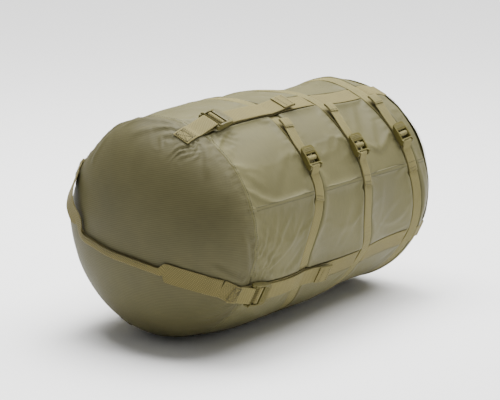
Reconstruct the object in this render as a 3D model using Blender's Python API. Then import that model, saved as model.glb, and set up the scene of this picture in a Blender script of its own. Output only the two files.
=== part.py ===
"""Compression stuff sack lying on its side.

A round fabric sack with a domed base at -X and a drawn-in mouth at +X that is
covered by a compression lid.  Four long webbing straps run from the lid to
ladder locks on the base seam, three girth straps go round the body, and a
webbing carry handle crosses the base.

Sack coordinates: x runs along the axis from the base seam, phi is the angle
round the axis (0 = front, -Y; 90 = top; -90 = underside).  All objects hang
from one empty that moves the sack coordinates to the part's origin, which is
the centre of the footprint.  Units are metres, +Z is up.
"""
import bpy
import bmesh
import math
import numpy as np
from mathutils import Matrix, Vector

for ob in list(bpy.data.objects):
    bpy.data.objects.remove(ob, do_unlink=True)
for me in list(bpy.data.meshes):
    bpy.data.meshes.remove(me)

# ------------------------------------------------------------------ dimensions
R = 0.175                 # body radius at the first girth strap
OVAL = 0.98               # height over width of the lying sack
BODY_L = 2.6 * R          # base seam to far shoulder
FLOOR = 0.975 * R         # axis height above the ground; the underside is pressed flat there
BASE_DEPTH = 0.531 * R    # how far the base panel domes out
FAR_DEPTH = 0.231 * R     # how far the lid domes out
SEAM_R = 0.964 * R        # base seam radius
BELT_R = (1.0 * R, 0.995 * R, 0.95 * R)      # radius at each girth strap
SHOULDER_R = 0.918 * R
BULGE = (0.036 * R, 0.016 * R, -0.019 * R, 0.021 * R)   # swell between them

SHELL_T = 0.0015          # fabric shell
LONG_W = 0.030            # long strap and handle webbing
LONG_T = 0.0018
GIRTH_W = 0.020           # girth webbing
GIRTH_T = 0.0015
GAP = 0.0004              # clearance between neighbouring pieces
MOUTH_R = 0.026           # drawn-in mouth

STRAP_PHI = {"a": 68.5, "b": -27.0, "c": -113.0, "d": 153.0}
STRAP_HALF = 4.95         # half the angular width of a long strap
SEAM_PHI = (17.0, 197.0)  # side seams

# x of the bar that each long strap's anchor webbing wraps, and the tail end
LOCK_X = {"a": 0.0255, "b": 0.0060, "c": 0.0200, "d": 0.0230}
TAIL_X = {"a": 0.990 * R, "b": 0.83 * R, "c": 0.93 * R, "d": 0.93 * R}
LOCK_SINK = {"a": 0.0, "b": 0.0, "c": 0.0050, "d": 0.0}

# girth strap routes: (phi, x / R) of the middle of the webbing
ROUTES = (
    ((-60, .90), (-35, .74), (-15, .69), (-3, .75), (8, .84), (20, .89), (45, .88),
     (62, .89), (80, .86), (95, .82), (130, .80), (180, .80), (230, .82), (270, .87)),
    ((-60, 1.50), (-34, 1.57), (-21, 1.62), (-4, 1.56), (12, 1.585), (26, 1.60),
     (47, 1.585), (61, 1.585), (76, 1.54), (94, 1.37), (130, 1.37), (180, 1.44),
     (235, 1.49), (270, 1.49)),
    ((-60, 2.38), (-34, 2.41), (-20, 2.43), (-4, 2.40), (12, 2.355), (30, 2.33),
     (48, 2.305), (66, 2.30), (80, 2.33), (98, 2.41), (130, 2.40), (180, 2.37),
     (235, 2.36), (270, 2.36)),
)
GIRTH_BAR_PHI = 28.9      # bar of each girth lock
GIRTH_STITCH_PHI = 12.5   # where the folded anchor end is stitched down
GIRTH_TAIL_PHI = (57.5, 60.0, 60.5)

LOCK_BAR_H = 0.0046       # bar axis above the webbing below it
LOCK_BAR_R = 0.0019
LOCK_MID_S = 0.0140       # middle bar, from the anchor bar
LOCK_MID_H = 0.0054
LOCK_LEN = 0.0335         # anchor bar to tab end

# part origin: middle of the footprint, on the ground
ORIGIN_X = 0.198235
ORIGIN_Y = 0.0000

# ------------------------------------------------------------------ helpers
root = bpy.data.objects.new("sack_frame", None)
bpy.context.scene.collection.objects.link(root)
root.location = (-ORIGIN_X, -ORIGIN_Y, FLOOR)


def material(name, color, rough, metal=0.0):
    m = bpy.data.materials.new(name)
    m.use_nodes = True
    b = m.node_tree.nodes["Principled BSDF"]
    b.inputs["Base Color"].default_value = (*color, 1.0)
    b.inputs["Roughness"].default_value = rough
    b.inputs["Metallic"].default_value = metal
    m.diffuse_color = (*color, 1.0)
    return m


def add_object(name, bm, color, rough, smooth=35.0):
    bmesh.ops.remove_doubles(bm, verts=bm.verts, dist=1e-7)
    bmesh.ops.recalc_face_normals(bm, faces=bm.faces)
    me = bpy.data.meshes.new(name)
    bm.to_mesh(me)
    bm.free()
    me.shade_smooth()
    me.set_sharp_from_angle(angle=math.radians(smooth))
    me.materials.append(material(name, color, rough))
    ob = bpy.data.objects.new(name, me)
    bpy.context.scene.collection.objects.link(ob)
    ob.parent = root
    return ob


def route_x(k, phi):
    """Periodic smooth route of girth strap k: x at angle phi."""
    pts = sorted(((p + 540.0) % 360.0 - 180.0, v) for p, v in ROUTES[k])
    p = np.array([q[0] for q in pts])
    v = np.array([q[1] for q in pts])
    p = np.concatenate([p[-2:] - 360, p, p[:2] + 360])
    v = np.concatenate([v[-2:], v, v[:2]])
    a = (phi + 540.0) % 360.0 - 180.0
    i = int(np.clip(np.searchsorted(p, a, side="right") - 1, 1, len(p) - 3))
    h = p[i + 1] - p[i]
    t = (a - p[i]) / h
    m0 = (v[i + 1] - v[i - 1]) / (p[i + 1] - p[i - 1]) * h
    m1 = (v[i + 2] - v[i]) / (p[i + 2] - p[i]) * h
    return R * float((2 * t**3 - 3 * t**2 + 1) * v[i] + (t**3 - 2 * t**2 + t) * m0
                     + (-2 * t**3 + 3 * t**2) * v[i + 1] + (t**3 - t**2) * m1)


def route_half(k, phi, w):
    """Half the webbing's extent along x where its route is oblique."""
    slope = (route_x(k, phi + 1.5) - route_x(k, phi - 1.5)) / (R * math.radians(3.0))
    return 0.5 * w * math.sqrt(1.0 + slope * slope)


def envelope(x, phi):
    xs = [0.0, route_x(0, phi), route_x(1, phi), route_x(2, phi), BODY_L]
    rs = [SEAM_R, *BELT_R, SHOULDER_R]
    k = 3
    for i in range(4):
        if x <= xs[i + 1]:
            k = i
            break
    t = (x - xs[k]) / (xs[k + 1] - xs[k])
    return (1 - t) * rs[k] + t * rs[k + 1] + BULGE[k] * 4 * t * (1 - t)


def polar(x, r, phi, depth):
    a = math.radians(phi)
    return Vector((x, -r * math.cos(a), max(OVAL * r * math.sin(a), -FLOOR + depth)))


def side_skin(x, phi, depth):
    return polar(x, envelope(x, phi) - depth, phi, depth)


def dome_profile(s, depth, deep, rim):
    """(axial, radial) of a dome at angle s from its pole, sunk by depth."""
    def f(q):
        q = math.radians(q)
        return deep * math.cos(q), rim * abs(math.sin(q)) ** 0.9
    if s < 0.5:
        return deep - depth, 0.0
    a0, r0 = f(max(s - 0.5, 0.01))
    a1, r1 = f(min(s + 0.5, 90.0))
    a, r = f(s)
    ta, tr = a1 - a0, r1 - r0
    n = math.hypot(ta, tr)
    na, nr = tr / n, -ta / n
    return a - na * depth, r - nr * depth


def base_skin(s, phi, depth):
    a, r = dome_profile(s, depth, BASE_DEPTH, SEAM_R)
    return polar(-a, r, phi, depth)


def far_skin(s, phi, depth):
    a, r = dome_profile(s, depth, FAR_DEPTH, SHOULDER_R)
    return polar(BODY_L + a, r, phi, depth)


# columns round the sack: strap edges and seams are always columns
def span(a, b, n):
    return [a + (b - a) * i / n for i in range(n)]


A, B, C, D = (STRAP_PHI[k] for k in "abcd")
H = STRAP_HALF
UPPER = ([SEAM_PHI[0]] + span(SEAM_PHI[0], A - H, 5)[1:] + span(A - H, A + H, 1)
         + span(A + H, D - H, 8) + span(D - H, D + H, 1) + span(D + H, SEAM_PHI[1], 4)
         + [SEAM_PHI[1]])
LOWER = ([SEAM_PHI[1]] + span(SEAM_PHI[1], C + 360 - H, 5)[1:] + span(C + 360 - H, C + 360 + H, 1)
         + span(C + 360 + H, B + 360 - H, 8) + span(B + 360 - H, B + 360 + H, 1)
         + span(B + 360 + H, SEAM_PHI[0] + 360, 4) + [SEAM_PHI[0] + 360])
COLUMNS = UPPER[:-1] + LOWER[:-1]
STACK_LONG = LONG_T + GAP
STACK_GIRTH = GIRTH_T + GAP


def strap_at(phi):
    for key, c in STRAP_PHI.items():
        if abs((phi - c + 180.0) % 360.0 - 180.0) < H + 0.05:
            return key
    return None


def side_rows(phi):
    """(x, wall depth below the envelope, girth strap number or -1) down one column."""
    strap = strap_at(phi)
    long_d = STACK_LONG if strap else 0.0
    sink = LOCK_SINK[strap] if strap else 0.0
    rows = [(0.0, 0.0, -1)]
    x0 = 0.0
    for k in range(3):
        ch = route_half(k, phi, GIRTH_W + 0.0022)
        sh = ch + 0.005
        xk = route_x(k, phi)
        steps = ((0.07, 0.28, 0.62), (0.35, 0.68), (0.25, 0.5, 0.75))[k]
        for j, t in enumerate(steps):
            d = long_d
            if k == 0:
                d = (sink, long_d + sink, long_d + sink)[j]
            rows.append((x0 + (xk - sh - x0) * t, d, -1))
        low = sink if k == 0 else 0.0
        rows.append((xk - sh, long_d + low, -1))
        rows.append((xk - ch, long_d + low + STACK_GIRTH, k))
        rows.append((xk + ch, long_d + low + STACK_GIRTH, k))
        rows.append((xk + sh, long_d + low, -1))
        x0 = xk + sh
    rows.append((x0 + (BODY_L - x0) * 0.5, long_d, -1))
    rows.append((BODY_L, long_d, -1))
    return rows


def shell(name, rows_outer, rows_inner, cyclic, color, rough, pole=False):
    """Closed thin shell between two grids of points, rows by columns."""
    bm = bmesh.new()

    def put(rows):
        out = []
        for i, row in enumerate(rows):
            if pole and i == len(rows) - 1:
                v = bm.verts.new(row[0])
                out.append([v] * len(row))
            else:
                out.append([bm.verts.new(p) for p in row])
        return out

    go, gi = put(rows_outer), put(rows_inner)
    n = len(rows_outer[0])
    last = n if cyclic else n - 1

    def quad(a, b, c, d):
        vs = []
        for v in (a, b, c, d):
            if v not in vs:
                vs.append(v)
        if len(vs) > 2:
            bm.faces.new(vs)

    for g in (go, gi):
        for i in range(len(g) - 1):
            for j in range(last):
                k = (j + 1) % n
                if g[i + 1][j] is g[i + 1][k]:
                    bm.faces.new((g[i][j], g[i][k], g[i + 1][j]))
                else:
                    bm.faces.new((g[i][j], g[i][k], g[i + 1][k]))
                    bm.faces.new((g[i][j], g[i + 1][k], g[i + 1][j]))
    ends = [0] if pole else [0, len(go) - 1]
    for i in ends:
        for j in range(last):
            k = (j + 1) % n
            quad(go[i][j], go[i][k], gi[i][k], gi[i][j])
    if not cyclic:
        for j in (0, n - 1):
            for i in range(len(go) - 1):
                quad(go[i][j], go[i + 1][j], gi[i + 1][j], gi[i][j])
    return add_object(name, bm, color, rough, 50.0)


def ribbon(name, stations, color=(0.19, 0.17, 0.095), rough=0.75):
    """Closed strip of webbing.  A station is (left inner, right inner, right outer, left outer)."""
    bm = bmesh.new()
    rings = [[bm.verts.new(p) for p in st] for st in stations]
    for a, b in zip(rings[:-1], rings[1:]):
        # both faces are split from the left edge to the right edge of the next station
        bm.faces.new((a[0], a[1], b[1]))
        bm.faces.new((a[0], b[1], b[0]))
        bm.faces.new((a[3], b[2], a[2]))
        bm.faces.new((a[3], b[3], b[2]))
        bm.faces.new((a[1], a[2], b[2], b[1]))
        bm.faces.new((a[3], a[0], b[0], b[3]))
    bm.faces.new(rings[0])
    bm.faces.new(rings[-1][::-1])
    return add_object(name, bm, color, rough, 40.0)


FABRIC = (0.115, 0.108, 0.070)
BASE_FABRIC = (0.095, 0.088, 0.055)
WEB = (0.20, 0.175, 0.098)
PLASTIC = (0.075, 0.075, 0.052)

# ------------------------------------------------------------------ fabric shells
SEAM_GAP_DEG = 0.06


def panel(name, cols):
    phis = list(cols)
    phis[0] += SEAM_GAP_DEG
    phis[-1] -= SEAM_GAP_DEG
    table = [side_rows(c) for c in cols]
    n = len(table[0])
    outer, inner = [], []
    for i in range(n):
        ro, ri = [], []
        for c, phi in zip(range(len(cols)), phis):
            x, d, _ = table[c][i]
            if i == 0:
                x += 0.0002
            if i == n - 1:
                x -= 0.0002
            ro.append(side_skin(x, phi, d))
            ri.append(side_skin(x, phi, d + SHELL_T))
        outer.append(ro)
        inner.append(ri)
    return shell(name, outer, inner, False, FABRIC, 0.55)


side_upper = panel("side_panel_upper", UPPER)
side_lower = panel("side_panel_lower", LOWER)

S_BASE = (90.0, 84.0, 76.0, 66.0, 54.0, 40.0, 26.0, 12.0, 0.0)
rows_o, rows_i = [], []
for s in S_BASE:
    shift = Vector((-0.0002, 0, 0)) if s == 90.0 else Vector((0, 0, 0))
    rows_o.append([base_skin(s, c, 0.0) + shift for c in COLUMNS])
    rows_i.append([base_skin(s, c, SHELL_T) + shift for c in COLUMNS])
base_panel = shell("base_panel", rows_o, rows_i, True, BASE_FABRIC, 0.6, pole=True)


def collar_depth(s, phi):
    d = STACK_LONG if strap_at(phi) and s > 86.0 else 0.0
    return max(d, 0.0042 * min(1.0, max(0.0, (90.0 - s) / 8.0)))


S_MOUTH = math.degrees(math.asin((MOUTH_R / SHOULDER_R) ** (1 / 0.9)))
S_COLLAR = (90.0, 82.0, 70.0, 55.0, 40.0, 25.0, S_MOUTH)
rows_o, rows_i = [], []
for s in S_COLLAR:
    shift = Vector((0.0002, 0, 0)) if s == 90.0 else Vector((0, 0, 0))
    rows_o.append([far_skin(s, c, collar_depth(s, c)) + shift for c in COLUMNS])
    rows_i.append([far_skin(s, c, collar_depth(s, c) + SHELL_T) + shift for c in COLUMNS])
collar = shell("mouth_collar", rows_o, rows_i, True, FABRIC, 0.55)

# lid: separate cap over the drawn-in mouth
S_LID = (79.0, 68.0, 52.0, 36.0, 18.0, 0.0)
LID_DROP = 0.0022         # below the envelope, leaves room for the strap ends on top
rows_o = [[far_skin(s, c, LID_DROP - SHELL_T + 0.0008) for c in COLUMNS] for s in S_LID]
rows_i = [[far_skin(s, c, LID_DROP + 0.0008) for c in COLUMNS] for s in S_LID]
lid_panel = shell("lid_panel", rows_o, rows_i, True, FABRIC, 0.55, pole=True)


# ------------------------------------------------------------------ places on the wall
def column_point(x, phi, lift_of):
    """Point over the faceted wall on one column; lift_of(row) gives its height over the wall."""
    rows = side_rows(phi)
    for a, b in zip(rows[:-1], rows[1:]):
        if x <= b[0] + 1e-9:
            t = (x - a[0]) / (b[0] - a[0])
            pa = side_skin(a[0], phi, a[1] - lift_of(a))
            pb = side_skin(b[0], phi, b[1] - lift_of(b))
            return pa.lerp(pb, t)
    a = rows[-1]
    return side_skin(a[0], phi, a[1] - lift_of(a))


def girth_under(row):
    """Height of the webbing that a long strap rides over at this row."""
    return STACK_GIRTH if row[2] == 0 else 0.0


def row_xs(phi_c, x0, x1):
    """x of the wall rows between two ends, averaged over the strap's two edges."""
    ra, rb = side_rows(phi_c - H), side_rows(phi_c + H)
    out = []
    for a, b in zip(ra, rb):
        if x0 + 0.002 < min(a[0], b[0]) and max(a[0], b[0]) < x1 - 0.002:
            out.append((a[0], b[0]))
    return out


def long_strip(name, key, x0, x1, level, end_lift=0.0):
    phi_c = STRAP_PHI[key]
    base = GAP + level * STACK_LONG
    sts = []
    ends = [(x0, x0)] + row_xs(phi_c, x0, x1) + [(x1, x1)]
    for n, (xa, xb) in enumerate(ends):
        lift = end_lift if n == len(ends) - 1 else 0.0
        inner = lambda r, q=lift: girth_under(r) + base + q
        outer = lambda r, q=lift: girth_under(r) + base + LONG_T + q
        lo, hi = phi_c - H, phi_c + H
        sts.append((column_point(xa, lo, inner), column_point(xb, hi, inner),
                    column_point(xb, hi, outer), column_point(xa, lo, outer)))
    return ribbon(name, sts, WEB)


def unit(v):
    return v / v.length


class Seat:
    """Local frame of a ladder lock: s towards its tab, t across, n away from the sack."""

    def __init__(self, origin, s, n):
        self.o = origin
        self.s = unit(s)
        self.n = unit(n - self.s * n.dot(self.s))
        self.t = self.n.cross(self.s)

    def at(self, s, t, n):
        return self.o + self.s * s + self.t * t + self.n * n


seats = {}
for key, phi in STRAP_PHI.items():
    xb = LOCK_X[key]
    sink = LOCK_SINK[key]
    p0 = side_skin(xb, phi, sink + 0.0)
    p1 = side_skin(xb + 0.028, phi, sink)
    mid = side_skin(xb + 0.014, phi, sink)
    a = math.radians(phi)
    n = Vector((0.0, -math.cos(a), math.sin(a) / OVAL))
    s_dir = p1 - p0
    seat = Seat(p0, s_dir, n)
    swell = max(0.0, (mid - p0).dot(seat.n))
    seat.o = p0 + seat.n * (swell + 0.0003)
    seats[key] = seat


def girth_edge(k, side, phi, extra=0.0):
    """Point on one edge of a girth strap's route: side -1 or +1; extra is height over the wall."""
    cols = [c if c <= 180.0 else c - 360.0 for c in COLUMNS]
    cols = sorted(cols)
    cols = [cols[-1] - 360.0] + cols + [cols[0] + 360.0]
    a = (phi + 540.0) % 360.0 - 180.0
    for c0, c1 in zip(cols[:-1], cols[1:]):
        if c0 - 1e-9 <= a <= c1 + 1e-9:
            break

    def at(c):
        strap = strap_at(c)
        long_d = STACK_LONG if strap else 0.0
        low = LOCK_SINK[strap] if strap and k == 0 else 0.0
        d = long_d + low + STACK_GIRTH
        over = long_d if k > 0 else 0.0
        x = route_x(k, c) + side * route_half(k, c, GIRTH_W)
        return side_skin(x, c, d - over - GAP - extra)
    t = (a - c0) / (c1 - c0)
    return at(c0).lerp(at(c1), t)


def girth_station(k, phi, h0, h1):
    return (girth_edge(k, -1, phi, h0), girth_edge(k, 1, phi, h0),
            girth_edge(k, 1, phi, h1), girth_edge(k, -1, phi, h1))


for k in range(3):
    def top(phi):
        q = [girth_edge(k, sd, phi, GIRTH_T) for sd in (-1, 1)]
        return (q[0] + q[1]) / 2
    p0, mid, p1 = top(GIRTH_BAR_PHI), top(GIRTH_BAR_PHI + 4.6), top(GIRTH_BAR_PHI + 9.2)
    a = math.radians(GIRTH_BAR_PHI + 4.6)
    n = Vector((0.0, -math.cos(a), math.sin(a) / OVAL))
    seat = Seat(p0, (top(GIRTH_BAR_PHI + 6.0) - top(GIRTH_BAR_PHI - 6.0)), n)
    n = seat.t.cross(p1 - p0) * -1.0
    along = p1 - p0
    seat.n = unit(n if n.dot(seat.n) > 0 else -n)
    seat.s = unit(seat.s - seat.n * seat.s.dot(seat.n))
    seat.t = seat.n.cross(seat.s)
    swell = max(0.0, (mid - p0).dot(seat.n), (top(35.516) - p0).dot(seat.n))
    seat.o = p0 + seat.n * (swell + 0.0006)
    seats["girth_%d" % (k + 1)] = seat


# ------------------------------------------------------------------ ladder locks
def closed_prism(bm, outline, seat, t0, t1):
    """Prism of an outline in the (s, n) plane, across from t0 to t1."""
    a = [bm.verts.new(seat.at(s, t0, n)) for s, n in outline]
    b = [bm.verts.new(seat.at(s, t1, n)) for s, n in outline]
    m = len(outline)
    for i in range(m):
        j = (i + 1) % m
        bm.faces.new((a[i], a[j], b[j], b[i]))
    bm.faces.new(a[::-1])
    bm.faces.new(b)


def circle(cs, cn, r, n, start=0.0):
    return [(cs + r * math.cos(start + 2 * math.pi * i / n),
             cn + r * math.sin(start + 2 * math.pi * i / n)) for i in range(n)]


LOCK_HOME = Seat(Vector((0, 0, 0)), Vector((1, 0, 0)), Vector((0, 0, 1)))


def solid(name, bm):
    bmesh.ops.recalc_face_normals(bm, faces=bm.faces)
    me = bpy.data.meshes.new(name)
    bm.to_mesh(me)
    bm.free()
    ob = bpy.data.objects.new(name, me)
    bpy.context.scene.collection.objects.link(ob)
    return ob


def lock_mesh(width):
    """One-piece ladder lock for webbing of this width, at the home frame."""
    rail_t = 0.0034
    half_in = width / 2 + 0.0013
    half_out = half_in + rail_t
    back = [(LOCK_BAR_H - 0.0006) * 1.0]
    r_back = LOCK_BAR_H - 0.0006
    arc = [(-r_back * math.sin(q), LOCK_BAR_H - r_back * math.cos(q))
           for q in [math.radians(d) for d in (0, 30, 60, 90, 120, 150)]]
    rail = ([(0.0255, 0.0030), (0.0180, 0.0010), (0.0080, 0.0006)] + arc
            + [(0.0040, 0.0090), (0.0120, 0.0097), (0.0200, 0.0096), (0.0262, 0.0088)])
    parts = []
    for sgn in (-1, 1):
        bm = bmesh.new()
        t0, t1 = sorted((sgn * half_in, sgn * half_out))
        closed_prism(bm, rail, LOCK_HOME, t0, t1)
        parts.append(solid("rail", bm))
    bm = bmesh.new()
    closed_prism(bm, circle(0, LOCK_BAR_H, LOCK_BAR_R, 8, math.pi / 8), LOCK_HOME,
                 -half_in - 0.001, half_in + 0.001)
    parts.append(solid("bar", bm))
    bm = bmesh.new()
    closed_prism(bm, circle(LOCK_MID_S, LOCK_MID_H, 0.0019, 8, math.pi / 8), LOCK_HOME,
                 -half_in - 0.001, half_in + 0.001)
    parts.append(solid("bar", bm))
    # thumb tab: thin plate with a rounded end, rising away from the sack
    bm = bmesh.new()
    prof = [(0.0205, 0.0040, 0.0086), (0.0245, 0.0041, 0.0088), (0.0290, 0.0052, 0.0086),
            (0.0335, 0.0068, 0.0086)]
    outline = []
    for s, w in ((0.0205, half_in + 0.001), (0.0262, half_in + 0.001), (0.0263, half_out),
                 (0.0290, half_out * 0.95), (0.0315, half_out * 0.80), (LOCK_LEN, half_out * 0.52)):
        outline.append((s, w))
    lo, hi = [], []
    for s, w in outline:
        b = np.interp(s, [p[0] for p in prof], [p[1] for p in prof])
        t = np.interp(s, [p[0] for p in prof], [p[2] for p in prof])
        lo.append((bm.verts.new((s, -w, b)), bm.verts.new((s, w, b))))
        hi.append((bm.verts.new((s, -w, t)), bm.verts.new((s, w, t))))
    for i in range(len(lo) - 1):
        bm.faces.new((lo[i][0], lo[i][1], lo[i + 1][1], lo[i + 1][0]))
        bm.faces.new((hi[i][0], hi[i + 1][0], hi[i + 1][1], hi[i][1]))
        bm.faces.new((lo[i][0], lo[i + 1][0], hi[i + 1][0], hi[i][0]))
        bm.faces.new((lo[i][1], hi[i][1], hi[i + 1][1], lo[i + 1][1]))
    bm.faces.new((lo[0][0], hi[0][0], hi[0][1], lo[0][1]))
    bm.faces.new((lo[-1][0], lo[-1][1], hi[-1][1], hi[-1][0]))
    parts.append(solid("tab", bm))
    body = parts[0]
    for p in parts[1:]:
        m = body.modifiers.new("join", "BOOLEAN")
        m.operation = "UNION"
        m.solver = "EXACT"
        m.object = p
    dg = bpy.context.evaluated_depsgraph_get()
    me = bpy.data.meshes.new_from_object(body.evaluated_get(dg))
    for p in parts:
        bpy.data.objects.remove(p, do_unlink=True)
    bm = bmesh.new()
    bm.from_mesh(me)
    bmesh.ops.remove_doubles(bm, verts=bm.verts, dist=1e-6)
    bmesh.ops.recalc_face_normals(bm, faces=bm.faces)
    bm.to_mesh(me)
    bm.free()
    me.shade_smooth()
    me.set_sharp_from_angle(angle=math.radians(40))
    return me


lock_meshes = {"long": lock_mesh(LONG_W), "girth": lock_mesh(GIRTH_W)}
for kind, me in lock_meshes.items():
    me.materials.clear()
    me.materials.append(material("lock_" + kind, PLASTIC, 0.42))


def seat_matrix(seat, pivot_n):
    o = seat.at(0, 0, pivot_n)
    m = Matrix((seat.s, seat.t, seat.n)).transposed().to_4x4()
    m.translation = o
    return m


def hang_on(ob, pivot):
    """Parent a piece built in sack coordinates to the empty on its joint's axis."""
    ob.parent = pivot
    ob.matrix_parent_inverse = pivot_places[pivot.name].inverted()


pivots = {}
pivot_places = {}


def place_lock(name, kind, seat):
    """The lock turns about its anchor bar, so an empty sits on that axis."""
    pivot = bpy.data.objects.new(name + "_pivot", None)
    bpy.context.scene.collection.objects.link(pivot)
    pivot.parent = root
    pivot_places[pivot.name] = seat_matrix(seat, LOCK_BAR_H)
    pivot.matrix_local = pivot_places[pivot.name]
    ob = bpy.data.objects.new(name, lock_meshes[kind])
    bpy.context.scene.collection.objects.link(ob)
    ob.parent = pivot
    ob.location = (0, 0, -LOCK_BAR_H)
    pivots[name] = pivot
    return ob


def web_station(seat, s, n, ds, dn, w, th):
    """Cross-section of webbing at (s, n) heading (ds, dn), seen across its width."""
    m = math.hypot(ds, dn)
    us, un = -dn / m, ds / m
    q = th / 2
    return (seat.at(s - us * q, -w / 2, n - un * q), seat.at(s - us * q, w / 2, n - un * q),
            seat.at(s + us * q, w / 2, n + un * q), seat.at(s + us * q, -w / 2, n + un * q))


def web_path(name, seat, pts, w, th, color=WEB, head=(), tail=()):
    sts = list(head)
    for i, (s, n) in enumerate(pts):
        a = pts[max(i - 1, 0)]
        b = pts[min(i + 1, len(pts) - 1)]
        # mitred corner keeps the webbing's thickness
        d0 = np.array([s - a[0], n - a[1]]) if i else np.array([b[0] - s, b[1] - n])
        d1 = np.array([b[0] - s, b[1] - n]) if i < len(pts) - 1 else d0
        d0 = d0 / np.linalg.norm(d0)
        d1 = d1 / np.linalg.norm(d1)
        dm = d0 + d1
        dm = dm / np.linalg.norm(dm)
        k = 1.0 / max(0.6, float(np.dot(dm, d0)))
        sts.append(web_station(seat, s, n, dm[0], dm[1], w, th * k))
    sts += list(tail)
    return ribbon(name, sts, color)


def loop_points(cs, cn, r, a0, a1, n):
    return [(cs + r * math.cos(math.radians(a0 + (a1 - a0) * i / n)),
             cn + r * math.sin(math.radians(a0 + (a1 - a0) * i / n))) for i in range(n + 1)]


def threaded_loop(name, seat, w, th):
    """Webbing that goes up through the lock, over its middle bar and down again."""
    r = 0.0019 + 0.00045 + th / 2
    pts = [(LOCK_MID_S - r, 0.0018)] + loop_points(LOCK_MID_S, LOCK_MID_H, r, 180, 0, 6) \
        + [(LOCK_MID_S + r, 0.0018)]
    return web_path(name, seat, pts, w, th)


# long strap locks, anchors, straps, loops, tails
for key in "abcd":
    seat = seats[key]
    phi = STRAP_PHI[key]
    place_lock("lock_" + key, "long", seat)
    hang_on(threaded_loop("lock_loop_" + key, seat, LONG_W, LONG_T), pivots["lock_" + key])
    # anchor webbing: stitched flat on the base, over the seam, round the bar, folded back
    lo, hi = phi - H, phi + H
    xb = LOCK_X[key]
    r = LOCK_BAR_R + 0.00045 + LONG_T / 2
    s_start = 77.0
    s_rim = 88.0 if key != "b" else 84.0
    under = []
    for s in (s_start, (s_start + s_rim) / 2, s_rim):
        under.append((base_skin(s, lo, -GAP), base_skin(s, hi, -GAP),
                      base_skin(s, hi, -GAP - LONG_T), base_skin(s, lo, -GAP - LONG_T)))
    over = []
    top0 = 2 * GAP + LONG_T
    for s in (s_rim, (s_start + s_rim) / 2, s_start + 1.0):
        over.append((base_skin(s, lo, -top0 - LONG_T), base_skin(s, hi, -top0 - LONG_T),
                     base_skin(s, hi, -top0), base_skin(s, lo, -top0)))
    ring = loop_points(0, LOCK_BAR_H, r, -90, 100, 7)
    sts = list(under)
    # lower strand: the inner face is the sack side
    mids = [(-0.003, LOCK_BAR_H - r)] + ring
    for i, (s, n) in enumerate(mids):
        a = mids[max(i - 1, 0)]
        b = mids[min(i + 1, len(mids) - 1)]
        d0 = np.array([s - a[0], n - a[1]]) if i else np.array([b[0] - s, b[1] - n])
        d1 = np.array([b[0] - s, b[1] - n]) if i < len(mids) - 1 else d0
        d0 = d0 / np.linalg.norm(d0)
        d1 = d1 / np.linalg.norm(d1)
        dm = (d0 + d1) / np.linalg.norm(d0 + d1)
        us, un = -dm[1], dm[0]
        q = LONG_T / 2
        w2 = LONG_W / 2
        # the ribbon's "lo" edge lies on the side of smaller phi
        sgn = 1.0 if (seat.t.dot(base_skin(88, hi, 0) - base_skin(88, lo, 0)) > 0) else -1.0
        sts.append((seat.at(s - us * q, -sgn * w2, n - un * q), seat.at(s - us * q, sgn * w2, n - un * q),
                    seat.at(s + us * q, sgn * w2, n + un * q), seat.at(s + us * q, -sgn * w2, n + un * q)))
    # the strip has turned over: what was its outer face now faces the sack
    sts += [(p[0], p[1], p[2], p[3]) for p in over]
    ribbon("strap_anchor_" + key, sts, WEB)
    x_in = xb + 0.0078
    long_strip("long_strap_" + key, key, x_in, BODY_L - 0.0008, 0)
    long_strip("long_tail_" + key, key, xb + 0.0205, TAIL_X[key], 1, 0.0010)

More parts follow.
